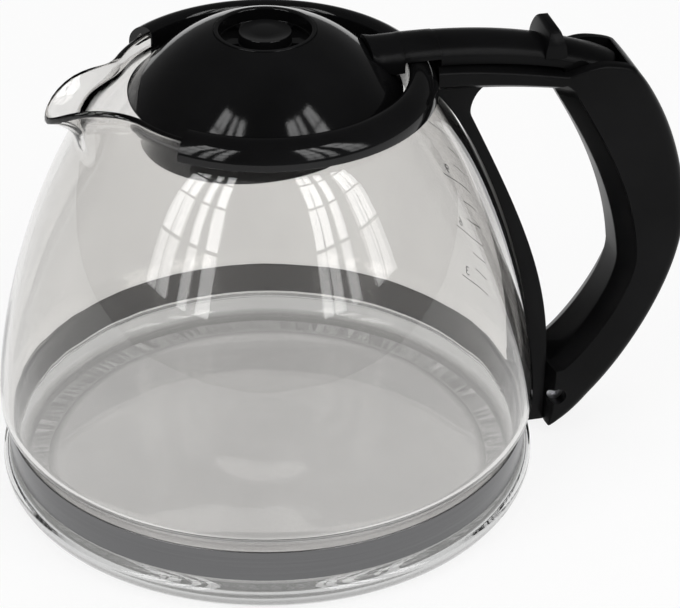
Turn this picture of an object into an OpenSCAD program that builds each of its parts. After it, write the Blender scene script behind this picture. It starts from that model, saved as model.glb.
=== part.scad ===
// Glass coffee server: a blown jug with a pouring lip, held by a black collar, a
// strap, a grip and a steel band, and closed by a dome lid on a thumb lever.
// The origin is the middle of the jug on the surface it stands on.
// +Z is up and +X points to the grip. Lengths are in millimetres.

/* [Jug] */
// Widest outside diameter of the glass
jug_d = 154; // [148:1:160]
// Height of the collar's seat over the table
jug_h = 125.5; // [123:0.5:130]
// Drop of the glass rim below that seat
rim_drop = 1.4; // [1.2:0.1:1.6]
// Thickness of the glass wall
glass_wall = 2; // [1.6:0.1:2.2]
// Height at which the wall starts to draw in
belly_z = 22; // [21:0.5:24]
// Outside diameter of the throat under the rim
throat_d = 84; // [83.6:0.2:84.4]
// Height from the throat to the rim
rim_flare_h = 4.2; // [3.8:0.1:4.6]
// How far the rim flares out of the throat
rim_flare = 0.6; // [0.5:0.1:0.8]
// Radius of the corner between the wall and the base
base_round = 6.3; // [5:0.1:7]
// Width of the ring that the jug stands on
foot_ring_w = 6.3; // [4:0.1:8]
// Rise of the base in the middle
punt_h = 4.5; // [3:0.1:6]
// Diameter of the small ring moulded in the base
punt_ring_d = 36; // [30:1:40]
// Height of that ring
punt_ring_h = 0.7; // [0.4:0.1:1]
// Room over and under the band in its groove
groove_room = 0.4; // [0.3:0.05:0.5]
// Length over which the groove fades out on the outside
groove_ease = 2.6; // [2.2:0.1:2.8]
// Length over which the groove fades out on the inside
groove_ease_in = 4.4; // [4:0.1:4.6]

/* [Pouring lip] */
// Reach of the lip's tip past the throat
lip_out = 18.1; // [16:0.1:18.8]
// Drop of the lip's tip below the rim
lip_drop = 7.1; // [6:0.1:7.6]
// Half angle over which the rim draws out to the lip
lip_half_angle = 31; // [29:1:33]
// Rounding on the glass edge
edge_crest = 0.4; // [0.2:0.1:0.5]

/* [Band] */
// Depth of the band's face behind the widest glass
band_inset = 2; // [1.9:0.05:2.2]
// Height of the band
band_h = 9.4; // [9:0.1:9.8]
// Height of the band's lower edge over the table
band_z = 10.3; // [10:0.1:10.5]
// Thickness of the band
band_wall = 0.6; // [0.5:0.05:0.7]
// Distance between the band's two ears
ear_gap = 3; // [2.6:0.1:3.4]
// Reach of the ears past the band
ear_reach = 13; // [12:0.2:14]

/* [Collar] */
// Room between the rim and the collar's outer wall
collar_room = 2.4; // [2.2:0.1:2.6]
// Thickness of the collar's outer wall
collar_wall = 2; // [1.6:0.1:2.1]
// Height of the collar's skirt below its seat
collar_drop = 5.5; // [5:0.1:6]
// Height of the collar's crest over its seat
collar_rise = 1.3; // [1.1:0.1:1.5]
// Thickness of the collar's inner wall
collar_in_wall = 0.7; // [0.6:0.1:0.9]
// Height of the collar's inner wall below its seat
collar_in_drop = 8.5; // [7.5:0.1:9]
// Half angle of the gap in the collar at the lip
collar_gap_angle = 48.5; // [46:0.5:52]
// Length of the tongue that the collar puts into the handle
tongue_len = 14; // [13.5:0.5:14.5]
// Width of that tongue
tongue_w = 14; // [13:0.5:15]
// Thickness of that tongue
tongue_t = 2; // [1.8:0.1:2.1]

/* [Lid] */
// Gap between the dome's rim and the collar
dome_gap = 1.1; // [1:0.1:1.2]
// Drop of the dome's rim below the collar's seat
dome_drop = 5.5; // [5:0.1:6]
// Height of the dome
dome_h = 20; // [19:0.2:21]
// Fullness of the dome's curve
dome_power = 2.3; // [2.2:0.05:2.5]
// Thickness of the dome
dome_wall = 2; // [1.8:0.1:2.2]
// Diameter of the filling hole's insert
inlet_d = 25.2; // [24:0.2:26]
// Diameter of the raised disc in the insert
inlet_disc_d = 14.2; // [13:0.2:15]
// Depth of the insert's trough
inlet_depth = 3.6; // [3:0.1:4]
// Wall of the insert
inlet_wall = 1.2; // [1:0.1:1.4]
// Number of drain slots in the insert
drain_n = 6; // [4:1:8]
// Distance of the lid's skirt in from the dome's rim
skirt_inset = 3; // [2.6:0.1:3.4]
// Wall of the skirt
skirt_wall = 1.6; // [1.4:0.1:1.8]
// Depth of the skirt below the dome's rim, in the middle
skirt_drop = 9.3; // [8.5:0.1:10]
// Slant of the skirt's lower edge, deeper at the lip
skirt_slant = 7; // [5:0.5:8]

/* [Lid lever] */
// Width of the lever
lever_w = 15; // [14.6:0.1:15.2]
// Rise of the lever's back over the collar's seat
lever_rise = 6.9; // [6.7:0.1:7.2]
// Drop of the lever's edges below its crown
lever_crown = 4.5; // [4:0.1:4.8]
// Radius of the knuckle round the pin
knuckle_r = 4.5; // [4.2:0.1:4.6]
// Height of the thumb tab over the pin
tab_h = 14.7; // [13.5:0.1:15.5]
// Width of the thumb tab
tab_w = 15.6; // [15:0.1:16]
// Thickness of the thumb tab at its top
tab_t = 3.2; // [2.8:0.1:3.4]
// Thickness of the thumb tab at its base
tab_base_t = 6; // [5.6:0.1:6.2]

/* [Handle] */
// Reach of the grip past the widest glass
grip_reach = 44.2; // [43:0.2:46]
// Width of the grip
grip_w = 22; // [21.4:0.1:23]
// Width of the grip's inner face
grip_face_w = 10; // [9:0.2:11]
// Depth of the grip's long bevels
grip_bevel = 4.4; // [4:0.1:4.6]
// Rounding on the grip's back
grip_round = 4; // [3.5:0.1:4.2]
// Rounding on the beam's upper edges
beam_round = 1; // [0.8:0.1:1.2]
// Bevel on the beam's lower edges
beam_bevel = 2.6; // [2.2:0.1:2.8]
// Distance of the lid's pin past the widest glass
pin_out = 10; // [9.6:0.1:10.4]
// Drop of the pin below the collar's seat
pin_drop = 8; // [7.8:0.1:8.2]
// Radius of the recess that the lever's tail dips into
recess_r = 14.2; // [14:0.1:14.3]
// Depth of the hollow in the grip from its cover
hollow_depth = 9; // [8:0.2:9.6]
// Wall beside that hollow
hollow_wall = 2.6; // [2.4:0.1:3]
// Width of the strap behind the glass
strap_w = 14; // [13.4:0.1:14.6]
// Distance of the strap's face past the widest glass, at the foot
strap_out = 5.5; // [5.3:0.1:6]
// Height of the handle's foot over the table
foot_z = 3.6; // [3:0.1:4.2]

/* [Fasteners] */
// Diameter of the lid's pin
pin_d = 3; // [2.8:0.1:3.2]
// Length of the lid's pin
pin_len = 20.4; // [20:0.1:20.8]
// Diameter of the band's bolt
bolt_d = 3; // [2.8:0.1:3.2]
// Diameter of its head
bolt_head_d = 5; // [4.8:0.1:5.2]
// Height of its head
bolt_head_h = 1.8; // [1.6:0.1:2]
// Distance across the flats of its nut
nut_w = 5; // [4.8:0.1:5.2]
// Thickness of that nut
nut_h = 2; // [1.8:0.1:2.2]
// Diameter of the screws
screw_d = 2.4; // [2.2:0.1:2.6]
// Diameter of their heads
screw_head_d = 4.2; // [4:0.1:4.4]
// Height of their heads
screw_head_h = 1.2; // [1:0.1:1.3]
// Depth of the drive recess in the heads
drive_depth = 0.7; // [0.5:0.1:0.8]

/* [Clearances] */
// Clearance between seated pieces
seat = 0.05; // [0.03:0.01:0.08]
// Clearance of the pin in the lever's bore
running_fit = 0.05; // [0.02:0.01:0.08]
// Clearance beside moving pieces
side_gap = 0.3; // [0.25:0.05:0.4]
// Clearance between the strap and the glass
strap_gap = 0.35; // [0.3:0.05:0.4]
// Angle that the lid opens
lid_open = 65; // [55:1:66]

/* [Hidden] */
$fn = 96;
jug_r = jug_d/2;
throat_r = throat_d/2;
punt_r = jug_r - base_round - foot_ring_w;
glass_h = jug_h - rim_drop;
neck_z = glass_h - rim_flare_h;
band_r = jug_r - band_inset;
groove_depth = band_inset + band_wall + seat;
groove_lo = band_z - groove_room;
groove_hi = band_z + band_h + groove_room;
collar_r = throat_r + rim_flare + collar_room + collar_wall;
channel_in_r = throat_r - glass_wall - rim_flare - side_gap*0.6;
collar_in_r = channel_in_r - collar_in_wall;
dome_r = collar_in_r - dome_gap;
dome_z = jug_h - dome_drop;
inlet_r = inlet_d/2;
inlet_disc_r = inlet_disc_d/2;
skirt_r = dome_r - skirt_inset;
pin_x = jug_r + pin_out;
pin_z = jug_h - pin_drop;
strap_x = jug_r + strap_out;
lever_hw = lever_w/2;
grip_hw = grip_w/2;
knuckle_gap_r = knuckle_r + side_gap;
// Share of the shoulder's curve that is round, before the lip's neck starts
neck_share = 0.8;
columns = 96;
neck_n = 3;
flare_n = 5;
wall_n = 5;
shoulder_n = 22;
floor_n = 10;

function bez(p, t) = pow(1 - t, 3)*p[0] + 3*pow(1 - t, 2)*t*p[1] + 3*(1 - t)*t*t*p[2] + pow(t, 3)*p[3];
function unit(v) = v/norm(v);
function heading(p, t) =
    unit(pow(1 - t, 2)*(p[1] - p[0]) + 2*(1 - t)*t*(p[2] - p[1]) + t*t*(p[3] - p[2]));
function right_of(d) = [d.y, -d.x];
function ramp(t) = let (u = max(0, min(1, t))) u*u*(3 - 2*u);
function mix(a, b, t) = a + (b - a)*t;

// Shoulder of the glass, from the belly to the throat
shoulder_share = [0.35, 0.881];
draw_share = 0.538;
shoulder = [
    [jug_r, belly_z],
    [jug_r, mix(belly_z, neck_z, shoulder_share[0])],
    [mix(jug_r, throat_r, draw_share), mix(belly_z, neck_z, shoulder_share[1])],
    [throat_r, neck_z]
];
// Throat and flared rim
flare_share = [[-0.9, 0.32], [1, 0.6], [1, 1 - edge_crest/rim_flare_h]];
flare = [
    shoulder[3],
    for (s = flare_share) shoulder[3] + [rim_flare*s.x, rim_flare_h*s.y]
];
neck_foot = bez(shoulder, neck_share);
neck_dir = heading(shoulder, neck_share);
neck_foot_in = neck_foot.x - glass_wall/neck_dir.y;
neck_lap = glass_wall/14;
// Underside of the lip, from the neck to the tip
lip_tip = [throat_r + lip_out, glass_h - lip_drop];
lip_share = [[0.02, 0.42], [0.22, 0.86]];
lip = [
    neck_foot,
    for (s = lip_share) neck_foot + [(lip_tip.x - neck_foot.x)*s.x, (lip_tip.y - neck_foot.y)*s.y],
    lip_tip
];

function dip(z, ease) = groove_depth*ramp((z - groove_lo + ease)/ease)*ramp((groove_hi + ease - z)/ease);
function punt(r) = r < punt_r ? punt_h*(1 - pow(r/punt_r, 2)) + (r < punt_ring_d/2 ? punt_ring_h : 0) : 0;
function glass_at(t, out) = bez(shoulder, t) + right_of(heading(shoulder, t))*out;

// Heights of the wall's points between the base and the belly
wall_heights = [
    for (i = [1:wall_n]) mix(base_round, groove_lo, i/wall_n),
    groove_hi,
    mix(groove_hi, belly_z, 0.5)
];
glass_outside = [
    for (i = [0:floor_n]) let (r = punt_r*i/floor_n) [r, punt(r)],
    for (a = [-90:15:0]) [jug_r - base_round + base_round*cos(a), base_round + base_round*sin(a)],
    for (z = wall_heights) [jug_r - dip(z, groove_ease), z],
    for (i = [0:shoulder_n]) let (p = bez(shoulder, neck_share*i/shoulder_n))
        [p.x - dip(p.y, groove_ease), p.y]
];
glass_inside = [
    [neck_foot_in, neck_foot.y],
    for (i = [shoulder_n:-1:0]) let (p = glass_at(neck_share*i/shoulder_n, -glass_wall))
        [p.x - dip(p.y, groove_ease_in), p.y],
    for (i = [len(wall_heights) - 1:-1:0]) let (z = wall_heights[i])
        [jug_r - glass_wall - dip(z, groove_ease_in), z],
    for (a = [0:-15:-90]) let (r = base_round - glass_wall)
        [jug_r - base_round + r*cos(a), base_round + r*sin(a)],
    for (i = [floor_n:-1:0]) let (r = punt_r*i/floor_n) [r, glass_wall + punt(r)]
];

// One column of the neck: the round rim, drawn out to the lip near its middle
rings = neck_n + flare_n;
function neck_at(k) = k <= neck_n
    ? bez(shoulder, mix(neck_share, 1, k/neck_n))
    : bez(flare, (k - neck_n)/flare_n);
function lip_weight(a) = abs(a) < lip_half_angle ? cos(90*a/lip_half_angle) : 0;
function column_at(k, a) =
    let (w = lip_weight(a), n = neck_at(k), s = bez(lip, k/rings))
    [mix(n.x, s.x, pow(w, 3)), mix(n.y, s.y, pow(w, 10))];
function column_dir(k, a) = unit(column_at(min(k + 1, rings), a) - column_at(k - 1, a));
function column_in(k, a) = column_at(k, a) - right_of(column_dir(k, a))*glass_wall;
function column(a) = [
    [neck_foot.x - neck_lap/3, neck_foot.y - neck_lap],
    [neck_foot.x - neck_lap/3, neck_foot.y],
    for (k = [1:rings]) column_at(k, a),
    (column_at(rings, a) + column_in(rings, a))/2 + column_dir(rings, a)*edge_crest,
    for (k = [rings:-1:1]) column_in(k, a),
    [neck_foot_in + neck_lap, neck_foot.y],
    [neck_foot_in + neck_lap, neck_foot.y - neck_lap]
];

// Solid skin over closed rings of points, joined end to end
module ring_skin(loops) {
    m = len(loops);
    n = len(loops[0]);
    polyhedron(
        [for (l = loops) for (p = l) p],
        [for (j = [0:m - 1]) for (i = [0:n - 1]) for (f = [0:1])
            let (a = j*n + i, b = j*n + (i + 1)%n, c = ((j + 1)%m)*n + (i + 1)%n, d = ((j + 1)%m)*n + i)
            f == 0 ? [a, b, c] : [a, c, d]]
    );
}
// Solid skin over rings of points, closed by the first and the last ring
module bar_skin(loops) {
    m = len(loops);
    n = len(loops[0]);
    polyhedron(
        [for (l = loops) for (p = l) p],
        [
            [for (i = [0:n - 1]) i],
            [for (i = [n - 1:-1:0]) (m - 1)*n + i],
            for (j = [0:m - 2]) for (i = [0:n - 1]) for (f = [0:1])
                let (a = j*n + i, b = j*n + (i + 1)%n, c = (j + 1)*n + (i + 1)%n, d = (j + 1)*n + i)
                f == 0 ? [a, c, b] : [a, d, c]
        ]
    );
}

module glass_jug() {
    color([0.8, 0.86, 0.88, 0.4]) {
        rotate_extrude() polygon(concat(glass_outside, glass_inside));
        ring_skin([for (j = [0:columns - 1]) let (a = 360*j/columns)
            [for (p = column(a > 180 ? a - 360 : a)) [-p.x*cos(a), -p.x*sin(a), p.y]]]);
    }
}

// Bar across the part along Y, centred
module across(d, len) {
    rotate([90, 0, 0]) cylinder(h = len, d = d, center = true);
}
// Outline drawn in X and Z, thick along Y and centred
module slab(w) {
    rotate([90, 0, 0]) linear_extrude(w, center = true) children();
}

// Steel band and its ears
ear_y = ear_gap/2;
bolt_x = band_r + ear_reach*0.8;
bolt_z = band_z + band_h*0.33;
module ear_pair(extra, reach) {
    for (s = [-1, 1])
        translate([
            band_r - band_wall*0.8,
            s*(ear_y + band_wall/2) - band_wall/2 - extra,
            band_z - extra
        ])
            cube([reach + band_wall*0.8, band_wall + 2*extra, band_h + 2*extra]);
}
module steel_band() {
    color([0.62, 0.62, 0.63])
    difference() {
        union() {
            difference() {
                translate([0, 0, band_z]) cylinder(h = band_h, r = band_r);
                translate([0, 0, band_z - band_h]) cylinder(h = 3*band_h, r = band_r - band_wall);
                translate([0, -ear_y, band_z - band_h]) cube([jug_d, ear_gap, 3*band_h]);
            }
            ear_pair(0, ear_reach);
        }
        translate([bolt_x, 0, bolt_z]) across(bolt_d + 2*seat, jug_r);
    }
}

// Bolt through the foot and the ears, head on the side of -Y
bolt_head_y = grip_hw*0.72;
module hex_prism(w, h) {
    cylinder(h = h, r = w/sqrt(3), $fn = 6);
}
module band_bolt() {
    color([0.5, 0.5, 0.52])
    difference() {
        translate([bolt_x, 0, bolt_z]) rotate([-90, 0, 0]) {
            translate([0, 0, -bolt_head_y]) cylinder(h = bolt_head_y*2 - nut_h*0.2, d = bolt_d);
            translate([0, 0, -bolt_head_y]) cylinder(h = bolt_head_h, d = bolt_head_d);
        }
        translate([bolt_x, -bolt_head_y - seat, bolt_z]) rotate([-90, 0, 0])
            hex_prism(bolt_d*0.8, bolt_head_h*0.6);
    }
}
nut_y = bolt_head_y - nut_h*1.2;
module band_nut() {
    color([0.5, 0.5, 0.52])
    difference() {
        translate([bolt_x, nut_y, bolt_z]) rotate([-90, 0, 0]) hex_prism(nut_w, nut_h);
        translate([bolt_x, 0, bolt_z]) across(bolt_d + 2*seat, jug_r);
    }
}

// Collar: a channel turned down over the rim, open at the lip
collar_z = jug_h - collar_drop;
collar_top = jug_h + collar_rise;
crest_share = [
    [1, 0.12], [0.985, 0.27], [0.94, 0.45], [0.85, 0.63], [0.7, 0.82],
    [0.52, 0.95], [0.33, 1], [0.13, 0.97], [0.02, 0.82]
];
collar_profile = [
    [collar_in_r, jug_h - collar_in_drop],
    [channel_in_r, jug_h - collar_in_drop],
    [channel_in_r, glass_h + side_gap],
    [throat_r + rim_flare + side_gap, glass_h + side_gap],
    [collar_r - collar_wall, jug_h - collar_drop*0.71],
    [collar_r - collar_wall, collar_z],
    [collar_r, collar_z],
    for (s = crest_share) [mix(collar_in_r, collar_r, s.x), mix(collar_z, collar_top, s.y)]
];
tongue_z = jug_h - collar_drop*0.95;
tongue_x = collar_r + tongue_len;
screw_x = collar_r + tongue_len*0.72;
screw_y = tongue_w*0.28;
module tongue(extra) {
    translate([collar_r - collar_wall/2, -tongue_w/2 - extra, tongue_z - extra])
        cube([tongue_len + collar_wall/2 + extra, tongue_w + 2*extra, tongue_t + 2*extra]);
}
module collar() {
    color([0.08, 0.08, 0.085])
    difference() {
        union() {
            rotate([0, 0, collar_gap_angle - 180])
                rotate_extrude(angle = 360 - 2*collar_gap_angle) polygon(collar_profile);
            tongue(0);
        }
        for (s = [-1, 1])
            translate([screw_x, s*screw_y, tongue_z - tongue_t/2])
                cylinder(h = 2*tongue_t, d = screw_d + 2*seat);
    }
}

// Screw standing on its head, pointing up
module screw(len) {
    difference() {
        union() {
            cylinder(h = screw_head_h, d = screw_head_d);
            cylinder(h = screw_head_h + len, d = screw_d);
        }
        for (a = [0, 90])
            rotate([0, 0, a])
                translate([-screw_d/2, -screw_d/8, -seat]) cube([screw_d, screw_d/4, drive_depth]);
    }
}
module screw_room(len, below) {
    translate([0, 0, -below]) cylinder(h = screw_head_h + below + seat, d = screw_head_d + 2*seat);
    cylinder(h = screw_head_h + len + seat, d = screw_d + 2*seat);
}
collar_screw_z = jug_h - collar_drop*1.3;
collar_screw_len = tongue_z + tongue_t*0.9 - collar_screw_z - screw_head_h;
module collar_screws() {
    color([0.5, 0.5, 0.52])
    for (s = [-1, 1])
        translate([screw_x, s*screw_y, collar_screw_z]) screw(collar_screw_len);
}

// Strap behind the glass: its outer face, then the face that follows the jug
strap_knee = [strap_x, jug_h*0.191];
strap_top = [collar_r + collar_wall*3, jug_h*0.924];
strap_face = [
    strap_knee,
    [strap_x, jug_h*0.422],
    [mix(strap_x, strap_top.x, 0.332), jug_h*0.595],
    strap_top
];
tenon_z = collar_z - seat*4;
strap_n = 24;
strap_outline = [
    [strap_x, foot_z],
    for (i = [0:strap_n]) bez(strap_face, i/strap_n),
    [strap_top.x, tenon_z],
    [collar_r + side_gap, tenon_z],
    for (i = [strap_n:-1:0]) glass_at(0.97*i/strap_n, strap_gap),
    [jug_r + strap_gap, foot_z]
];
strap_screw_len = strap_out*1.05;
strap_screw_z = [foot_z + screw_head_d, band_z + band_h + screw_head_d*0.55];
module place_strap_screws() {
    for (z = strap_screw_z)
        translate([jug_r + strap_gap*2, 0, z]) rotate([0, 90, 0]) children();
}
module strap() {
    color([0.07, 0.07, 0.075])
    difference() {
        slab(strap_w) polygon(strap_outline);
        ear_pair(seat, ear_reach);
        place_strap_screws() screw_room(strap_screw_len, strap_out);
    }
}
module strap_screws() {
    color([0.5, 0.5, 0.52]) place_strap_screws() screw(strap_screw_len);
}

// Handle: stations from the collar to the foot. Each has a point on the inner
// side, a point on the outer side, the inner face's half width, the bevel and
// the rounding.
function out_at(x_share, z_share) = [jug_r + grip_reach*x_share, jug_h*z_share];
foot_x = strap_x + seat;
beam_x0 = collar_r - collar_wall;
beam_n = 5;
beam_under = [
    [beam_x0, jug_h - collar_drop*1.31],
    [mix(beam_x0, pin_x, 0.34), jug_h - collar_drop*1.33],
    [mix(beam_x0, pin_x, 0.6), jug_h - collar_drop*1.6],
    out_at(0.072, 0.9165)
];
beam_over = [
    [beam_x0, jug_h - collar_drop*0.14],
    [mix(beam_x0, pin_x, 0.3), jug_h - collar_drop*0.2],
    [mix(beam_x0, pin_x, 0.6), jug_h - collar_drop*0.66],
    [pin_x - knuckle_r, jug_h - collar_drop*1.1]
];
cheek = [
    [pin_x - knuckle_r*0.4, jug_h - collar_drop],
    [pin_x + knuckle_r, jug_h - collar_drop*0.74],
    out_at(0.442, 0.966)
];
grip_in_a = [out_at(0.072, 0.9165), out_at(0.095, 0.879), out_at(0.518, 0.695), out_at(0.586, 0.4542)];
grip_in_b = [
    out_at(0.586, 0.4542),
    out_at(0.597, 0.3474),
    out_at(0.165, 0.169),
    [foot_x, strap_knee.y]
];
grip_out_a = [out_at(0.51, 0.975), out_at(0.79, 0.888), out_at(1, 0.698), out_at(1, 0.545)];
grip_out_b = [out_at(1, 0.545), out_at(1, 0.352), out_at(0.455, 0.052), [strap_x + foot_z*0.3, foot_z]];
grip_n = 14;
foot_n = 4;
// Shares of the upper and the lower curve of the grip. The cover lies between
// the third of the first list and the last but two of the second.
cover_step = 0.004;
cover_share = [0.16, 0.9];
upper_share = [cover_share[0]/2, cover_share[0] - cover_step, cover_share[0], for (i = [3:grip_n]) i/grip_n];
lower_share = [for (i = [1:grip_n - 2]) i/grip_n, cover_share[1], cover_share[1] + cover_step, 1];
heel_share = 0.74;
stations = [
    for (i = [0:beam_n])
        [bez(beam_under, i/beam_n), bez(beam_over, i/beam_n), grip_hw - beam_bevel, beam_bevel, beam_round],
    for (i = [0:2]) let (t = (i + 1)/4)
        [
            bez(grip_in_a, t*upper_share[0]),
            cheek[i],
            mix(grip_hw - beam_bevel, grip_face_w/2, t),
            mix(beam_bevel, grip_bevel, t),
            mix(beam_round, grip_round, t/2)
        ],
    for (t = upper_share)
        [
            bez(grip_in_a, t),
            bez(grip_out_a, t),
            grip_face_w/2,
            grip_bevel,
            mix(beam_round, grip_round, min(1, 0.4 + 2*t))
        ],
    for (t = lower_share)
        [
            bez(grip_in_b, t),
            bez(grip_out_b, t*heel_share),
            mix(grip_face_w/2, strap_w/2, t*t),
            mix(grip_bevel, beam_bevel, t*t),
            grip_round
        ],
    for (i = [1:foot_n]) let (t = i/foot_n)
        [
            [foot_x, mix(strap_knee.y, foot_z + seat, t)],
            bez(grip_out_b, mix(heel_share, 1, t)),
            mix(strap_w/2, grip_hw - beam_bevel, t),
            beam_bevel,
            mix(grip_round, beam_round, t)
        ]
];
first_upper = beam_n + 1 + len(cheek);
cover_a = first_upper + 2;
cover_b = first_upper + len(upper_share) + grip_n - 2;

// Ring of points at a station, from pairs of depth and side
function ring_at(s, pairs) = let (d = unit(s[1] - s[0]))
    [for (p = pairs) [s[0].x + d.x*p.x, p.y, s[0].y + d.y*p.x]];
function bevel_at(s) = min(s[3], norm(s[1] - s[0])*0.34);
function shell_ring(s, covered) =
    let (
        t = norm(s[1] - s[0]),
        bevel = bevel_at(s),
        from = covered ? bevel : 0,
        r = min(s[4], t*0.4)
    )
    ring_at(s, [
        [from, -s[2]],
        [from, s[2]],
        [bevel, grip_hw],
        for (a = [0:30:90]) [t - r + r*sin(a), grip_hw - r + r*cos(a)],
        for (a = [90:-30:0]) [t - r + r*sin(a), r - grip_hw - r*cos(a)],
        [bevel, -grip_hw]
    ]);
function cover_ring(s) =
    let (to = bevel_at(s) - seat, w = mix(s[2], grip_hw, to/bevel_at(s)))
    ring_at(s, [[0, -s[2]], [0, s[2]], [to, w], [to, -w]]);
function hollow_ring(s) =
    let (from = bevel_at(s)*0.7, to = bevel_at(s) + hollow_depth, w = grip_hw - hollow_wall)
    ring_at(s, [[from, -w], [from, w], [to, w*0.8], [to, -w*0.8]]);

// Room for the lever's knuckle and for its tail, which dips when the lid opens
recess_angle = lid_open*1.05;
module lever_recess() {
    translate([pin_x, 0, pin_z]) slab(lever_w + 2*side_gap) {
        circle(r = knuckle_gap_r);
        intersection() {
            circle(r = recess_r);
            polygon([
                [0, 0],
                [2*recess_r*cos(recess_angle), -2*recess_r*sin(recess_angle)],
                [3*recess_r, 0],
                [0, 3*recess_r],
                [-knuckle_gap_r, recess_r],
                [-knuckle_gap_r, 0]
            ]);
        }
    }
}

module handle_shell() {
    color([0.07, 0.07, 0.075])
    difference() {
        bar_skin([for (k = [0:len(stations) - 1]) shell_ring(stations[k], k >= cover_a && k <= cover_b)]);
        bar_skin([for (k = [cover_a + 2:cover_b - 2]) hollow_ring(stations[k])]);
        cylinder(h = 2*jug_h, r = collar_r + seat);
        tongue(seat);
        translate([0, -strap_w/2 - seat, tenon_z + seat - strap_w])
            cube([strap_top.x + seat, strap_w + 2*seat, strap_w]);
        for (s = [-1, 1])
            translate([screw_x, s*screw_y, collar_screw_z]) screw_room(collar_screw_len, tongue_t);
        place_strap_screws() screw_room(strap_screw_len, 0);
        ear_pair(seat, ear_reach + seat);
        translate([bolt_x, 0, bolt_z]) {
            across(bolt_d + 2*seat, 2*grip_w);
            translate([0, -grip_w, 0]) rotate([-90, 0, 0])
                cylinder(h = grip_w - bolt_head_y + bolt_head_h + seat, d = bolt_head_d + 2*seat);
            translate([0, nut_y - seat, 0]) rotate([-90, 0, 0]) hex_prism(nut_w + 2*seat, grip_w);
        }
        lever_recess();
        translate([pin_x, 0, pin_z]) across(pin_d + 2*seat, pin_len + 2*seat);
    }
}
module grip_cover() {
    color([0.09, 0.09, 0.095])
    bar_skin([for (k = [cover_a:cover_b]) cover_ring(stations[k])]);
}
module hinge_pin() {
    color([0.6, 0.6, 0.62]) translate([pin_x, 0, pin_z]) across(pin_d, pin_len);
}

// Dome: outer and inner curve of the same kind
function dome_curve(r, r_max, h) = dome_z + h*(1 - pow(r/r_max, dome_power));
inlet_out_r = inlet_r + inlet_wall;
dome_in_r = dome_r - dome_wall;
dome_n = 18;
dome_profile = [
    for (i = [0:dome_n]) let (r = mix(inlet_out_r + seat, dome_r, sin(90*i/dome_n)))
        [r, dome_curve(r, dome_r, dome_h)],
    for (i = [dome_n:-1:0]) let (r = mix(inlet_out_r + seat, dome_in_r, sin(90*i/dome_n)))
        [r, dome_curve(r, dome_in_r, dome_h - dome_wall)]
];
boss_z = dome_z + dome_h*0.17;
lid_screw_x = dome_r*0.813;
lid_screw_y = lever_w*0.22;
lid_screw_z = boss_z - screw_head_h - seat;
lid_screw_len = jug_h + lever_rise*0.595 - lid_screw_z - screw_head_h;
module place_lid_screws() {
    for (s = [-1, 1]) translate([lid_screw_x, s*lid_screw_y, lid_screw_z]) children();
}
module lid_dome() {
    color([0.06, 0.06, 0.065])
    difference() {
        union() {
            rotate_extrude() polygon(dome_profile);
            intersection() {
                translate([0, 0, boss_z - lid_screw_z]) place_lid_screws()
                    cylinder(h = dome_h, d = screw_head_d);
                rotate_extrude() polygon([
                    [0, dome_z],
                    for (i = [0:dome_n]) let (r = (dome_r - dome_wall/2)*sin(90*i/dome_n))
                        [r, dome_curve(r, dome_r - dome_wall/2, dome_h - dome_wall/2)]
                ]);
            }
        }
        place_lid_screws() screw_room(lid_screw_len, dome_h);
    }
}
module lid_skirt() {
    inner_r = skirt_r - skirt_wall;
    low_z = dome_z - 2*skirt_drop;
    color([0.07, 0.07, 0.075])
    difference() {
        rotate_extrude() polygon([
            [inner_r, low_z],
            [skirt_r, low_z],
            [skirt_r, dome_curve(skirt_r, dome_in_r, dome_h - dome_wall) - seat],
            [inner_r, dome_curve(inner_r, dome_in_r, dome_h - dome_wall) - seat]
        ]);
        translate([0, 0, dome_z - skirt_drop]) rotate([0, -skirt_slant, 0])
            translate([-jug_r, -jug_r, -jug_r]) cube([jug_d, jug_d, jug_r]);
    }
}
inlet_top = dome_curve(inlet_out_r, dome_r, dome_h);
inlet_floor = inlet_top - inlet_depth;
module inlet_insert() {
    low = inlet_floor - inlet_wall;
    disc_top = inlet_top - inlet_wall/3;
    edge = inlet_wall/3;
    trough_w = inlet_r - inlet_disc_r;
    color([0.09, 0.09, 0.095])
    difference() {
        rotate_extrude() polygon([
            [0, disc_top],
            [inlet_disc_r - edge, disc_top],
            [inlet_disc_r, disc_top - edge],
            [inlet_disc_r, inlet_floor],
            [inlet_r, inlet_floor],
            [inlet_r, inlet_top - edge],
            [inlet_r + edge, inlet_top],
            [inlet_out_r, inlet_top],
            [inlet_out_r, low],
            [inlet_disc_r - inlet_wall, low],
            [inlet_disc_r - inlet_wall, disc_top - inlet_wall],
            [0, disc_top - inlet_wall]
        ]);
        for (i = [0:drain_n - 1])
            rotate([0, 0, 360*i/drain_n])
                translate([0, 0, low - inlet_wall])
                    rotate_extrude(angle = 216/drain_n)
                        translate([inlet_disc_r + trough_w*0.3, 0])
                            square([trough_w*0.4, inlet_depth + inlet_wall]);
    }
}

// Lever: crown line and underside, over the collar and on to the tail
lever_x0 = dome_r*0.755;
lever_over = [
    [lever_x0, jug_h + lever_rise*0.85],
    [pin_x*0.667, jug_h + lever_rise],
    [pin_x*0.897, jug_h + lever_rise*0.57],
    [pin_x + recess_r*0.873, pin_z + knuckle_r*0.56]
];
lever_under = [
    [collar_r + side_gap, jug_h - seat*6],
    [pin_x*0.713, jug_h - lever_rise*0.115],
    [pin_x*0.874, jug_h - lever_rise*0.41],
    [pin_x + knuckle_r*0.3, pin_z + knuckle_r*0.3]
];
lever_front_x = dome_r - side_gap;
lever_tail = [lever_over[3].x, pin_z + knuckle_r*0.25];
lever_n = 24;
tail_n = 8;
tail_x = pin_x + knuckle_r;
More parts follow.
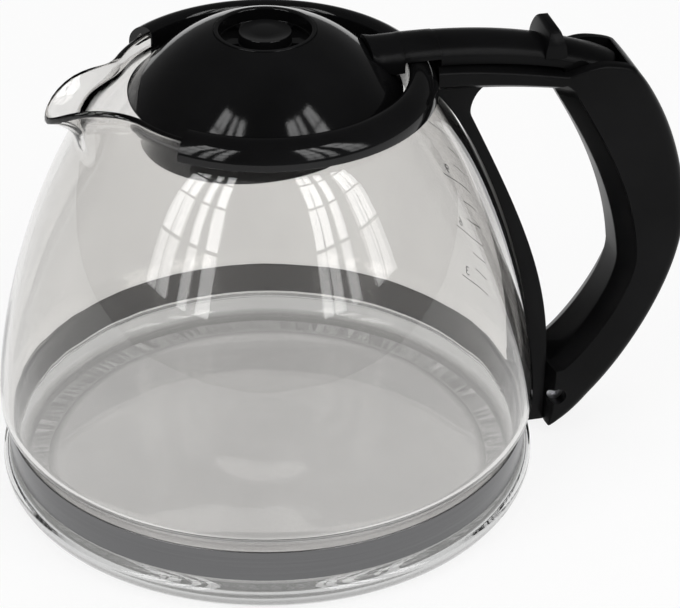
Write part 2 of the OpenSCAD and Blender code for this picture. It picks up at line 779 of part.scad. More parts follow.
// Height of a curve at a distance x, found by halving
function height_at(p, x, lo, hi, n) =
    let (m = (lo + hi)/2, q = bez(p, m))
    n == 0 ? q.y : q.x < x ? height_at(p, x, m, hi, n - 1) : height_at(p, x, lo, m, n - 1);
function crown_at(x) = height_at(lever_over, x, 0, 1, 20);
function under_at(x) = x < lever_under[3].x
    ? height_at(lever_under, x, 0, 1, 20)
    : mix(lever_under[3].y, lever_tail.y, (x - lever_under[3].x)/(lever_tail.x - lever_under[3].x));
over_collar_z = collar_top + side_gap;
lever_step = seat;
// Stations of the lever: distance, underside and half width
lever_stations = [
    for (t = [0, 0.33, 0.66, 1])
        [mix(lever_x0, lever_front_x, t), jug_h - lever_crown/3, lever_hw],
    [lever_front_x + lever_step, over_collar_z, lever_hw],
    for (t = [0.33, 0.66]) [mix(lever_front_x, lever_under[0].x, t), over_collar_z, lever_hw],
    [lever_under[0].x - lever_step, over_collar_z, lever_hw],
    for (i = [0:lever_n - 1]) let (x = mix(lever_under[0].x, tail_x, i/lever_n)) [x, under_at(x), lever_hw],
    for (i = [0:tail_n]) let (u = i/tail_n, x = mix(tail_x, lever_tail.x, sin(90*u)))
        [x, under_at(x), lever_hw*sqrt(1 - 0.94*pow(sin(90*u), 2))]
];
function lever_ring(s) =
    let (top = crown_at(s[0]), side = max(top - lever_crown, s[1] + lever_step))
    [
        [s[0], -s[2], s[1]],
        [s[0], s[2], s[1]],
        for (a = [0:20:180]) [s[0], s[2]*cos(a), side + (top - side)*sin(a)]
    ];
tab_x = pin_x - knuckle_r*1.55;
tab_root = pin_z + lever_rise*0.91;
tab_top = pin_z + tab_h;
module tab_outline(extra) {
    offset(delta = extra)
    polygon([
        [tab_x - tab_base_t*0.5, tab_root],
        [tab_x + tab_base_t*0.5, tab_root],
        [tab_x + tab_base_t*0.5, tab_root + lever_crown*0.5],
        [tab_x + tab_t*0.5, tab_top - tab_t*0.4],
        [tab_x + tab_t*0.3, tab_top - tab_t*0.1],
        [tab_x, tab_top],
        [tab_x - tab_t*0.3, tab_top - tab_t*0.1],
        [tab_x - tab_t*0.5, tab_top - tab_t*0.4],
        [tab_x - tab_base_t*0.5, tab_root + lever_crown*0.5]
    ]);
}
module lid_lever() {
    color([0.07, 0.07, 0.075])
    difference() {
        union() {
            bar_skin([for (s = lever_stations) lever_ring(s)]);
            translate([pin_x, 0, pin_z]) across(2*knuckle_r, lever_w);
        }
        rotate_extrude() polygon([
            [0, dome_z - dome_h],
            for (i = [0:dome_n]) let (r = (dome_r + seat)*sin(90*i/dome_n))
                [r, dome_curve(r, dome_r + seat, dome_h + seat)],
            [dome_r + seat, dome_z - dome_h]
        ]);
        slab(lever_w*2) tab_outline(seat);
        place_lid_screws() screw_room(lid_screw_len, dome_h);
        translate([pin_x, 0, pin_z]) across(pin_d + 2*running_fit, lever_w*2);
    }
}
module thumb_tab() {
    corner = tab_w*0.24;
    color([0.07, 0.07, 0.075])
    intersection() {
        slab(tab_w) tab_outline(0);
        translate([0, 0, tab_top]) rotate([90, 0, 90]) linear_extrude(jug_d)
            polygon([
                [-tab_w/2, -tab_h],
                [tab_w/2, -tab_h],
                for (a = [0:15:90]) [tab_w/2 - corner*(1 - cos(a)), -corner*(1 - sin(a))],
                for (a = [90:15:180]) [-tab_w/2 + corner*(1 + cos(a)), -corner*(1 - sin(a))]
            ]);
    }
}
module lid_screws() {
    color([0.5, 0.5, 0.52]) place_lid_screws() screw(lid_screw_len);
}

glass_jug();
steel_band();
band_bolt();
band_nut();
collar();
collar_screws();
strap();
strap_screws();
handle_shell();
grip_cover();
hinge_pin();
lid_dome();
lid_skirt();
inlet_insert();
lid_lever();
thumb_tab();
lid_screws();
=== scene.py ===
import math

import bmesh
import bpy
from mathutils import Matrix, Vector


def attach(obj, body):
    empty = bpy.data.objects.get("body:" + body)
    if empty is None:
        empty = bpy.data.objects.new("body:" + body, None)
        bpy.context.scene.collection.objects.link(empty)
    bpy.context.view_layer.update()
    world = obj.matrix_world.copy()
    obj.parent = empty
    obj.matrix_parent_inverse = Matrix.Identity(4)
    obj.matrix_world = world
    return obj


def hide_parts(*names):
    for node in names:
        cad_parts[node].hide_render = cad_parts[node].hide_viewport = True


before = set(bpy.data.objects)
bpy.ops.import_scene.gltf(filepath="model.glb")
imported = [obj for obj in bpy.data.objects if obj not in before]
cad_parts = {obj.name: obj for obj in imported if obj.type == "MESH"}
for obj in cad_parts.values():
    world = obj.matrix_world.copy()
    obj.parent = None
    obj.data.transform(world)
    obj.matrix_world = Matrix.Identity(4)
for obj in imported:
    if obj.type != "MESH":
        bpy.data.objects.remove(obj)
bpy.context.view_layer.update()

# Coffee server: glass jug, steel band, black collar, strap and grip, hinged dome lid.
# Sizes in the dictionaries are in millimetres, taken over from the CAD part.
mm = 0.001
scene = bpy.context.scene


# ---- shape helpers
def bez(p, t):
    a, b, c, d = (Vector(q) for q in p)
    return (1 - t) ** 3 * a + 3 * (1 - t) ** 2 * t * b + 3 * (1 - t) * t * t * c + t ** 3 * d


def heading(p, t):
    a, b, c, d = (Vector(q) for q in p)
    return ((1 - t) ** 2 * (b - a) + 2 * (1 - t) * t * (c - b) + t * t * (d - c)).normalized()


def mix(a, b, t):
    return a + (b - a) * t


def ramp(t):
    u = max(0.0, min(1.0, t))
    return u * u * (3 - 2 * u)


def shareAt(curve, axis, value):
    # share along a curve at which its x (0) or y (1) reaches a value, by halving
    lo, hi = 0.0, 1.0
    for _ in range(30):
        m = (lo + hi) / 2
        lo, hi = (m, hi) if bez(curve, m)[axis] < value else (lo, m)
    return lo


def roundOutline(points, reach, steps=5):
    # closed outline of (x, z) points, each corner eased over its own reach
    out = []
    n = len(points)
    for i, p in enumerate(points):
        r = reach[i] if isinstance(reach, (list, tuple)) else reach
        p = Vector(p)
        if r <= 0:
            out.append(p)
            continue
        before, after = Vector(points[i - 1]) - p, Vector(points[(i + 1) % n]) - p
        r = min(r, before.length * 0.46, after.length * 0.46)
        a, b = p + before.normalized() * r, p + after.normalized() * r
        for k in range(steps + 1):
            t = k / steps
            out.append((1 - t) ** 2 * a + 2 * (1 - t) * t * p + t * t * b)
    return out


def vertsIn(geom):
    return [v for v in geom if isinstance(v, bmesh.types.BMVert)]


def meshObject(name, bm):
    # a new object with its place in its mesh, from a bmesh that is used up
    mesh = bpy.data.meshes.new(name)
    bm.to_mesh(mesh)
    bm.free()
    obj = bpy.data.objects.new(name, mesh)
    scene.collection.objects.link(obj)
    return obj


def finishedBmesh(obj):
    # the object's mesh after its modifiers
    bpy.context.view_layer.update()
    mesh = bpy.data.meshes.new_from_object(obj.evaluated_get(bpy.context.evaluated_depsgraph_get()))
    bm = bmesh.new()
    bm.from_mesh(mesh)
    bpy.data.meshes.remove(mesh)
    return bm


def lineLoop(bm, coords, closed=True):
    verts = [bm.verts.new(c) for c in coords]
    edges = [bm.edges.new((verts[i], verts[i + 1])) for i in range(len(verts) - 1)]
    if closed:
        edges.append(bm.edges.new((verts[-1], verts[0])))
    return verts, edges


def spinProfile(points, steps, start=0.0, sweep=360.0, closed=True):
    # (radius, height) points turned about the jug's axis
    bm = bmesh.new()
    turn = Matrix.Rotation(math.radians(start), 4, "Z")
    verts, edges = lineLoop(bm, [turn @ Vector((p[0] * mm, 0, p[1] * mm)) for p in points], closed)
    full = abs(sweep - 360) < 1e-6
    bmesh.ops.spin(bm, geom=verts + edges, cent=(0, 0, 0), axis=(0, 0, 1), angle=math.radians(sweep),
                   steps=steps, use_merge=full, use_duplicate=False)
    bmesh.ops.remove_doubles(bm, verts=bm.verts, dist=1e-6)
    if not full:
        bmesh.ops.holes_fill(bm, edges=[e for e in bm.edges if e.is_boundary], sides=0)
    bmesh.ops.recalc_face_normals(bm, faces=bm.faces)
    return bm


def loftRings(rings):
    # a loop of points carried from one ring to the next, closed at both ends
    bm = bmesh.new()
    verts, edges = lineLoop(bm, rings[0])
    bm.faces.new(verts)
    for ring in rings[1:]:
        out = bmesh.ops.extrude_edge_only(bm, edges=edges)["geom"]
        grown = [e for e in out if isinstance(e, bmesh.types.BMEdge) and e.is_boundary]
        follow = {}
        for v in verts:
            for e in v.link_edges:
                w = e.other_vert(v)
                if w not in verts and any(g in grown for g in w.link_edges) and w in out:
                    follow[v] = w
        verts = [follow[v] for v in verts]
        for v, c in zip(verts, ring):
            v.co = c
        edges = [bm.edges.get((verts[i], verts[(i + 1) % len(verts)])) for i in range(len(verts))]
    bm.faces.new(verts)
    bmesh.ops.recalc_face_normals(bm, faces=bm.faces)
    return bm


def slab(outline, width):
    # (x, z) outline made thick along Y, half of it on each side
    bm = bmesh.new()
    verts, _ = lineLoop(bm, [(p[0] * mm, -width / 2 * mm, p[1] * mm) for p in outline])
    face = bm.faces.new(verts)
    out = bmesh.ops.extrude_face_region(bm, geom=[face])["geom"]
    bmesh.ops.translate(bm, vec=(0, width * mm, 0), verts=vertsIn(out))
    bmesh.ops.recalc_face_normals(bm, faces=bm.faces)
    return bm


def easeEdges(bm, size, minAngle=35, segments=2, keep=None):
    # rounds the edges that turn more than minAngle
    picked = [e for e in bm.edges if len(e.link_faces) == 2
              and e.calc_face_angle(0) > math.radians(minAngle) and (keep is None or keep(e))]
    if picked:
        bmesh.ops.bevel(bm, geom=picked, offset=size * mm, offset_type="OFFSET", affect="EDGES",
                        segments=segments, profile=0.5, material=-1, clamp_overlap=True)


def addPiece(name, bm, material, body, replaced=(), sharp=38):
    for f in bm.faces:
        f.smooth = True
    for e in bm.edges:
        if len(e.link_faces) == 2 and e.calc_face_angle(0) > math.radians(sharp):
            e.smooth = False
    obj = meshObject(name, bm)
    obj.data.materials.append(material)
    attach(obj, body)
    if replaced:
        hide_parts(*replaced)
    return obj


def combine(bm, others, operation="DIFFERENCE"):
    # bm with the other meshes taken out of it, or kept only where they are
    made = [meshObject("work", part) for part in [bm] + others]
    for other in made[1:]:
        step = made[0].modifiers.new("step", "BOOLEAN")
        step.operation, step.solver, step.object = operation, "EXACT", other
    out = finishedBmesh(made[0])
    for obj in made:
        mesh = obj.data
        bpy.data.objects.remove(obj)
        bpy.data.meshes.remove(mesh)
    bmesh.ops.remove_doubles(out, verts=out.verts, dist=1e-6)
    return out


def block(x0, x1, y0, y1, z0, z1):
    bm = bmesh.new()
    bmesh.ops.create_cube(bm, size=1.0)
    bmesh.ops.scale(bm, vec=((x1 - x0) * mm, (y1 - y0) * mm, (z1 - z0) * mm), verts=bm.verts)
    bmesh.ops.translate(bm, vec=((x0 + x1) / 2 * mm, (y0 + y1) / 2 * mm, (z0 + z1) / 2 * mm), verts=bm.verts)
    return bm


def addTo(bm, other):
    # puts a second closed shell into the same mesh
    mesh = bpy.data.meshes.new("work")
    other.to_mesh(mesh)
    other.free()
    bm.from_mesh(mesh)
    bpy.data.meshes.remove(mesh)


def rod(at, radius, length, axis="Y", segments=40):
    # round bar from its starting point along an axis
    bm = bmesh.new()
    bmesh.ops.create_cone(bm, cap_ends=True, segments=segments, radius1=radius * mm, radius2=radius * mm,
                          depth=length * mm)
    bmesh.ops.translate(bm, vec=(0, 0, length / 2 * mm), verts=bm.verts)
    turn = {"X": Matrix.Rotation(math.radians(90), 3, "Y"), "Y": Matrix.Rotation(math.radians(-90), 3, "X"),
            "Z": Matrix.Identity(3)}[axis]
    bmesh.ops.rotate(bm, cent=(0, 0, 0), matrix=turn, verts=bm.verts)
    bmesh.ops.translate(bm, vec=[c * mm for c in at], verts=bm.verts)
    return bm


# ---- materials
def nodeMaterial(name):
    mat = bpy.data.materials.new(name)
    mat.use_nodes = True
    nodes, links = mat.node_tree.nodes, mat.node_tree.links
    coord = nodes.new("ShaderNodeTexCoord")
    return mat, nodes, links, nodes["Principled BSDF"], coord.outputs["Object"]


def setInputs(node, values):
    for name, value in values.items():
        node.inputs[name].default_value = value


def noiseNode(nodes, links, coord, scale, detail=3.0, rough=0.5, stretch=None):
    noise = nodes.new("ShaderNodeTexNoise")
    setInputs(noise, {"Scale": scale, "Detail": detail, "Roughness": rough})
    if stretch:
        place = nodes.new("ShaderNodeMapping")
        setInputs(place, {"Scale": stretch})
        links.new(coord, place.inputs["Vector"])
        coord = place.outputs["Vector"]
    links.new(coord, noise.inputs["Vector"])
    return noise.outputs["Fac"]


def mapRange(nodes, links, value, low, high, fromLow=0.0, fromHigh=1.0):
    node = nodes.new("ShaderNodeMapRange")
    setInputs(node, {"From Min": fromLow, "From Max": fromHigh, "To Min": low, "To Max": high})
    links.new(value, node.inputs["Value"])
    return node.outputs["Result"]


def colourRamp(nodes, links, value, stops):
    node = nodes.new("ShaderNodeValToRGB")
    while len(node.color_ramp.elements) < len(stops):
        node.color_ramp.elements.new(0.5)
    for e, (pos, colour) in zip(node.color_ramp.elements, stops):
        e.position = pos
        e.color = (*colour, 1)
    links.new(value, node.inputs["Fac"])
    return node.outputs["Color"]


def mixColour(nodes, links, a, b, share=None, blend="MIX"):
    node = nodes.new("ShaderNodeMix")
    node.data_type, node.blend_type = "RGBA", blend
    node.inputs["Factor"].default_value = 1.0
    if share:
        links.new(share, node.inputs["Factor"])
    links.new(a, node.inputs["A"])
    links.new(b, node.inputs["B"])
    return node.outputs["Result"]


def bumpNode(nodes, links, height, strength, distance):
    node = nodes.new("ShaderNodeBump")
    setInputs(node, {"Strength": strength, "Distance": distance})
    links.new(height, node.inputs["Height"])
    return node.outputs["Normal"]


def dressShader(nodes, links, shader, value, stops, rough, bump):
    # colour, roughness and grain that all follow one noise
    links.new(colourRamp(nodes, links, value, stops), shader.inputs["Base Color"])
    links.new(mapRange(nodes, links, value, *rough), shader.inputs["Roughness"])
    links.new(bumpNode(nodes, links, value, *bump), shader.inputs["Normal"])


plasticLook = {"black": 0.0028, "lift": 0.006, "rough": (0.05, 0.1), "grain": 2600.0, "specular": 0.3,
               "gripRough": 0.24, "gripSpecular": 0.08}


def makeBlackPlastic(name="blackPlastic", roughAdd=0.0, specular=plasticLook["specular"]):
    mat, nodes, links, shader, coord = nodeMaterial(name)
    cloud = noiseNode(nodes, links, coord, 38.0, 4.0)
    b, l = plasticLook["black"], plasticLook["lift"]
    stops = [(0.3, (b, b, b * 1.05)), (0.75, (l, l, l * 1.06))]
    links.new(colourRamp(nodes, links, cloud, stops), shader.inputs["Base Color"])
    handling = noiseNode(nodes, links, coord, 95.0, 6.0, 0.62)
    low, high = plasticLook["rough"]
    links.new(mapRange(nodes, links, handling, low + roughAdd, high + roughAdd, 0.35, 0.7),
              shader.inputs["Roughness"])
    grain = noiseNode(nodes, links, coord, plasticLook["grain"], 2.0)
    sink = noiseNode(nodes, links, coord, 55.0, 1.0)
    both = nodes.new("ShaderNodeMath")
    both.operation = "MULTIPLY_ADD"
    both.inputs[1].default_value = 0.06
    links.new(grain, both.inputs[0])
    links.new(sink, both.inputs[2])
    links.new(bumpNode(nodes, links, both.outputs["Value"], 0.12, 0.0009), shader.inputs["Normal"])
    shader.inputs["Specular IOR Level"].default_value = specular
    return mat


# the ring's and the floor's stops of painted shade run up the lowest 12 mm of the glass
glassLook = {"tint": (0.80, 0.79, 0.775), "ior": 1.5, "rough": (0.0, 0.012), "wave": 34.0,
             "waveDepth": 0.0016, "baseHigh": 0.012, "ringFrom": 0.0615, "ringTo": 0.065,
             "ringShadeStops": [(0.0, (0.22, 0.22, 0.22)), (0.1, (0.34, 0.34, 0.34)), (0.22, (0.8, 0.815, 0.825)),
                           (0.8, (0.86, 0.875, 0.885)), (1.0, (1, 1, 1))],
             "floorShadeStops": [(0.0, (0.745, 0.75, 0.76)), (0.72, (0.745, 0.75, 0.76)), (0.9, (1, 1, 1))]}


def makeGlass(name="clearGlass"):
    mat, nodes, links, shader, coord = nodeMaterial(name)
    blown = noiseNode(nodes, links, coord, glassLook["wave"], 1.5, 0.45, stretch=(1.0, 1.0, 0.45))
    links.new(bumpNode(nodes, links, blown, 0.2, glassLook["waveDepth"]), shader.inputs["Normal"])
    streak = noiseNode(nodes, links, coord, 26.0, 3.0, 0.6, stretch=(1.0, 1.0, 0.5))
    t = glassLook["tint"]
    clear = colourRamp(nodes, links, streak,
                       [(0.3, tuple(c * 0.97 for c in t)), (0.75, tuple(min(1.0, c * 1.04) for c in t))])
    # painted shade: the glass floor is coloured darker than the wall, and so is the ring under the band, most
    # of all at its foot
    split = nodes.new("ShaderNodeSeparateXYZ")
    links.new(coord, split.inputs["Vector"])
    flat = nodes.new("ShaderNodeVectorMath")
    flat.operation = "MULTIPLY"
    flat.inputs[1].default_value = (1, 1, 0)
    links.new(coord, flat.inputs[0])
    reach = nodes.new("ShaderNodeVectorMath")
    reach.operation = "LENGTH"
    links.new(flat.outputs["Vector"], reach.inputs[0])
    atRim = mapRange(nodes, links, reach.outputs["Value"], 0, 1, glassLook["ringFrom"], glassLook["ringTo"])
    height = mapRange(nodes, links, split.outputs["Z"], 0, 1, 0.0, glassLook["baseHigh"])
    ring = colourRamp(nodes, links, height, glassLook["ringShadeStops"])
    floor = colourRamp(nodes, links, height, glassLook["floorShadeStops"])
    low = mixColour(nodes, links, floor, ring, atRim)
    links.new(mixColour(nodes, links, clear, low, blend="MULTIPLY"), shader.inputs["Base Color"])
    haze = noiseNode(nodes, links, coord, 60.0, 4.0)
    low, high = glassLook["rough"]
    links.new(mapRange(nodes, links, haze, low, high, 0.5, 0.8), shader.inputs["Roughness"])
    setInputs(shader, {"IOR": glassLook["ior"], "Transmission Weight": 1.0})
    return mat


bandLook = {"dark": 0.145, "light": 0.175, "rough": (0.2, 0.27)}


def makeBandSteel(name="brushedBandSteel"):
    mat, nodes, links, shader, coord = nodeMaterial(name)
    brush = noiseNode(nodes, links, coord, 12.0, 8.0, 0.75, stretch=(1.0, 1.0, 160.0))
    d, l = bandLook["dark"], bandLook["light"]
    dressShader(nodes, links, shader, brush, [(0.3, (d, d, d * 1.02)), (0.7, (l, l, l * 1.02))],
                (*bandLook["rough"], 0.3, 0.7), (0.1, 0.00003))
    setInputs(shader, {"Metallic": 1.0, "Anisotropic": 0.6})
    around = nodes.new("ShaderNodeTangent")
    around.direction_type, around.axis = "RADIAL", "Z"
    links.new(around.outputs["Tangent"], shader.inputs["Tangent"])
    return mat


screwLook = {"dark": (0.40, 0.40, 0.41), "light": (0.58, 0.58, 0.60), "rough": (0.22, 0.4)}


def makeScrewSteel(name="platedScrewSteel"):
    mat, nodes, links, shader, coord = nodeMaterial(name)
    spots = noiseNode(nodes, links, coord, 700.0, 5.0)
    dressShader(nodes, links, shader, spots, [(0.35, screwLook["dark"]), (0.7, screwLook["light"])],
                screwLook["rough"], (0.2, 0.00005))
    shader.inputs["Metallic"].default_value = 1.0
    return mat


printLook = {"ink": (0.04, 0.04, 0.045), "worn": (0.10, 0.10, 0.11), "rough": (0.45, 0.7)}


def makePrint(name="scalePrint"):
    mat, nodes, links, shader, coord = nodeMaterial(name)
    worn = noiseNode(nodes, links, coord, 900.0, 4.0)
    dressShader(nodes, links, shader, worn, [(0.3, printLook["ink"]), (0.75, printLook["worn"])],
                printLook["rough"], (0.2, 0.00003))
    return mat


blackPlastic = makeBlackPlastic()
gripPlastic = makeBlackPlastic("gripPlastic", plasticLook["gripRough"], plasticLook["gripSpecular"])
clearGlass = makeGlass()
bandSteel = makeBandSteel()
screwSteel = makeScrewSteel()
scalePrint = makePrint()
print("materials made")

# ---- glass jug
jug = {
    "radius": 77.0, "height": 125.5, "wall": 2.0, "bellyZ": 22.0, "throat": 42.0, "rim": 124.1, "crest": 0.4,
    "flare": 0.6, "flareHeight": 4.2, "flareShares": ((-0.9, 0.32), (1, 0.6)),
    "lowShare": 0.35, "drawShare": 0.538, "highShare": 0.881, "neckShare": 0.8,
    "baseRound": 6.3, "footRing": 6.3, "punt": 4.5, "puntPower": 1.4,
    "puntRing": 18.0, "puntRingHeight": 0.7, "puntRingEase": 5.0,
    "grooveDepth": 2.65, "grooveLow": 9.9, "grooveHigh": 20.1,
    "grooveEase": (3.2, 5.6), "grooveEaseIn": (3.2, 6.2),
    "lipReach": 60.1, "lipDrop": 7.1, "lipHalfAngle": 31.0, "lipShares": ((0.02, 0.42), (0.22, 0.86)),
    "lipSpread": 3, "lipDip": 10, "steps": 180,
}
neckZ = jug["rim"] - jug["flareHeight"]
drawnRadius = mix(jug["radius"], jug["throat"], jug["drawShare"])
shoulder = [(jug["radius"], jug["bellyZ"]), (jug["radius"], mix(jug["bellyZ"], neckZ, jug["lowShare"])),
            (drawnRadius, mix(jug["bellyZ"], neckZ, jug["highShare"])), (jug["throat"], neckZ)]
flareEnd = ((1, 1 - jug["crest"] / jug["flareHeight"]),)
flareCurve = [shoulder[3]] + [(shoulder[3][0] + jug["flare"] * a, shoulder[3][1] + jug["flareHeight"] * b)
                              for a, b in jug["flareShares"] + flareEnd]
neckFoot = bez(shoulder, jug["neckShare"])
lipTip = Vector((jug["lipReach"], jug["rim"] - jug["lipDrop"]))
lipCurve = [neckFoot] + [neckFoot + Vector(((lipTip.x - neckFoot.x) * a, (lipTip.y - neckFoot.y) * b))
                         for a, b in jug["lipShares"]] + [lipTip]
neckTurn = 3 / 8  # share of the neck's rings before the flare


def outward(d):
    return Vector((d.y, -d.x))


def grooveDip(z, below, above):
    # how deep the band's groove is at a height, with the ways it takes to fade below and above
    return jug["grooveDepth"] * ramp((z - jug["grooveLow"] + below) / below) \
        * ramp((jug["grooveHigh"] + above - z) / above)


def punt(r):
    # underside of the base, with a low step at its middle
    inner = jug["radius"] - jug["baseRound"] - jug["footRing"]
    rise = jug["punt"] * (1 - (r / inner) ** 2) ** jug["puntPower"] if r < inner else 0.0
    ease = jug["puntRingEase"]
    return rise + jug["puntRingHeight"] * ramp((jug["puntRing"] + ease - r) / (2 * ease))


def wallPoint(t, out):
    return bez(shoulder, t) + outward(heading(shoulder, t)) * out


def jugRadius(z):
    # outside radius of the wall at a height
    r = jug["radius"] if z <= jug["bellyZ"] else bez(shoulder, shareAt(shoulder, 1, z)).x
    return r - grooveDip(z, *jug["grooveEase"])


def neckOut(u, angle):
    # outside of the neck and lip: u runs up the neck, angle is measured from the lip
    n = bez(shoulder, mix(jug["neckShare"], 1, u / neckTurn)) if u <= neckTurn \
        else bez(flareCurve, (u - neckTurn) / (1 - neckTurn))
    s = bez(lipCurve, u)
    w = math.cos(math.radians(90 * angle / jug["lipHalfAngle"])) if abs(angle) < jug["lipHalfAngle"] else 0.0
    return Vector((mix(n.x, s.x, w ** jug["lipSpread"]), mix(n.y, s.y, w ** jug["lipDip"])))


def neckPoint(q, angle):
    # q 0..1 is the outside, 1..2 the rounded edge, 2..3 the inside coming back down
    if q <= 1:
        return neckOut(q, angle)
    u = 1.0 if q < 2 else 3 - q
    d = (neckOut(min(1.0, u + 0.02), angle) - neckOut(max(0.0, u - 0.02), angle)).normalized()
    p = neckOut(u, angle)
    inner = p - outward(d) * jug["wall"]
    if q >= 2:
        return inner
    a = math.pi * (q - 1)
    return (p + inner) / 2 + outward(d) * (jug["wall"] / 2 * math.cos(a)) + d * (jug["crest"] * math.sin(a))


def wallRings(out, ease):
    # the wall from the base's corner up to the neck, at a distance from the outside
    rings = []
    for k in range(1, 44):
        z = mix(jug["baseRound"], jug["bellyZ"], k / 44)
        rings.append((jug["radius"] + out - grooveDip(z, *ease), z, 0.0))
    for k in range(61):
        p = wallPoint(jug["neckShare"] * k / 60, out)
        rings.append((p.x - grooveDip(p.y, *ease), p.y, 0.0))
    return rings


def buildJug():
    inner = jug["radius"] - jug["baseRound"] - jug["footRing"]
    cornerX = jug["radius"] - jug["baseRound"]
    innerRound = jug["baseRound"] - jug["wall"]
    radii = [inner * i / 22 for i in range(23)]
    radii += [jug["puntRing"] + jug["puntRingEase"] * k for k in (-1, -0.68, -0.34, 0, 0.34, 0.68, 1)]
    radii.sort()
    floor = [(r, punt(r), 0.0) for r in radii]
    corner = [(cornerX + jug["baseRound"] * math.cos(a), jug["baseRound"] * (1 + math.sin(a)), 0.0)
              for a in (math.radians(-90 + 9 * k) for k in range(11))]
    neck = [(0, 0, q) for q in [k / 20 for k in range(1, 21)] + [1 + k / 8 for k in range(1, 8)]
            + [2 + k / 20 for k in range(0, 20)]]
    cornerIn = [(cornerX + innerRound * math.cos(a), jug["baseRound"] + innerRound * math.sin(a), 0.0)
                for a in (math.radians(-9 * k) for k in range(11))]
    floorIn = [(r, jug["wall"] + punt(r), 0.0) for r in reversed(radii)]
    bm = bmesh.new()
    mark = bm.verts.layers.float.new("lipShare")
    inside = wallRings(-jug["wall"], jug["grooveEaseIn"])
    profile = floor + corner + wallRings(0, jug["grooveEase"]) + neck + inside[::-1] + cornerIn + floorIn
    verts = []
    for r, z, q in profile:
        if q > 0:
            p = neckPoint(q, 180)
            r, z = p.x, p.y
        v = bm.verts.new((r * mm, 0, z * mm))
        v[mark] = q
        verts.append(v)
    edges = [bm.edges.new((a, b)) for a, b in zip(verts, verts[1:])]
    bmesh.ops.spin(bm, geom=verts + edges, cent=(0, 0, 0), axis=(0, 0, 1), angle=math.tau,
                   steps=jug["steps"], use_merge=True, use_duplicate=False)
    bmesh.ops.remove_doubles(bm, verts=bm.verts, dist=1e-6)
    for v in bm.verts:
        q = v[mark]
        if q > 0.001:
            turn = math.atan2(v.co.y, v.co.x)
            angle = math.degrees(turn) - 180
            angle = angle + 360 if angle < -180 else angle
            p = neckPoint(q, angle)
            v.co = Vector((p.x * math.cos(turn), p.x * math.sin(turn), p.y)) * mm
    bmesh.ops.recalc_face_normals(bm, faces=bm.faces)
    return addPiece("glassJug", bm, clearGlass, "jug", ["glass_jug"], sharp=80)


buildJug()
print("jug made")

# ---- steel band
band = {"radius": 75.0, "wall": 0.6, "low": 10.3, "height": 9.4, "edge": 0.22, "earGap": 3.0,
        "earReach": 13.0, "boltX": 85.4, "boltZ": 13.4, "boltHole": 1.55}


def buildBand():
    r, w, z0, z1 = band["radius"], band["wall"], band["low"], band["low"] + band["height"]
    half = math.degrees(math.asin(band["earGap"] / 2 / r))
    outline = roundOutline([(r - w, z0), (r, z0), (r, z1), (r - w, z1)], band["edge"], 4)
    bm = spinProfile(outline, 200, start=half, sweep=360 - 2 * half)
    for side in (-1, 1):
        y = side * (band["earGap"] / 2 + w / 2)
        ear = block(r - w * 0.8, r + band["earReach"], y - w / 2, y + w / 2, z0, z1)
        ear = combine(ear, [rod((band["boltX"], -20, band["boltZ"]), band["boltHole"], 40)])
        addTo(bm, ear)
    return addPiece("steelBand", bm, bandSteel, "jug", ["steel_band"])


buildBand()
print("band made")

# ---- collar
collar = {"radius": 47.0, "wall": 2.0, "drop": 5.5, "rise": 1.3, "inner": 38.52, "channel": 39.22,
          "innerDrop": 8.5, "roofShare": 0.71, "glassRoom": 0.3, "gap": 48.5, "tongue": 14.0,
          "tongueZ": 120.275, "tongueThick": 2.0, "screwX": 57.08, "screwY": 3.92, "screwZ": 118.35,
          "screwHole": 1.25, "ease": [0.2, 0.2, 0, 0, 0, 0.2, 0.4], "crestEase": 0.9,
          "crest": ((1, 0.12), (0.985, 0.27), (0.94, 0.45), (0.85, 0.63), (0.7, 0.82), (0.52, 0.95),
                    (0.35, 1), (0.22, 0.985), (0.12, 0.93), (0.04, 0.8))}


def buildCollar():
    h, c = jug["height"], collar
    low, high, ceiling = h - c["drop"], h + c["rise"], jug["rim"] + c["glassRoom"]
    outline = [(c["inner"], h - c["innerDrop"]), (c["channel"], h - c["innerDrop"]), (c["channel"], ceiling),
               (jug["throat"] + jug["flare"] + c["glassRoom"], ceiling),
               (c["radius"] - c["wall"], h - c["drop"] * c["roofShare"]),
               (c["radius"] - c["wall"], low), (c["radius"], low)]
    outline += [(mix(c["inner"], c["radius"], a), mix(low, high, b)) for a, b in c["crest"]]
    outline = roundOutline(outline, c["ease"] + [c["crestEase"]] * len(c["crest"]), 4)
    bm = spinProfile(outline, 150, start=c["gap"] - 180, sweep=360 - 2 * c["gap"])
    tongue = block(c["radius"] - c["wall"] / 2, c["radius"] + c["tongue"], -c["tongue"] / 2, c["tongue"] / 2,
                   c["tongueZ"], c["tongueZ"] + c["tongueThick"])
    holes = [rod((c["screwX"], side * c["screwY"], c["tongueZ"] - 2), c["screwHole"], 6, "Z", 32)
             for side in (-1, 1)]
    addTo(bm, combine(tongue, holes))
    return addPiece("collar", bm, blackPlastic, "jug", ["collar"])


buildCollar()
print("collar made")

# ---- lid
lid = {"radius": 37.4, "z": 120.0, "height": 20.0, "power": 2.3, "wall": 2.0, "skirt": 34.4, "skirtWall": 1.6,
       "skirtDrop": 9.3, "slant": 7.0, "screwX": 30.42, "screwY": 3.3, "screwHole": 1.25, "post": 2.1,
       "postHeight": 3.4}
inlet = {"radius": 12.6, "wall": 1.2, "depth": 3.6, "disc": 7.1, "discDrop": 0.4, "drains": 6,
         "drainShare": 0.6, "drainEdge": 1.2, "drainDepth": 1.05}


def domeZ(r, radius=None, height=None):
    radius = radius or lid["radius"]
    height = height or lid["height"]
    return lid["z"] + height * (1 - min(1.0, r / radius) ** lid["power"])


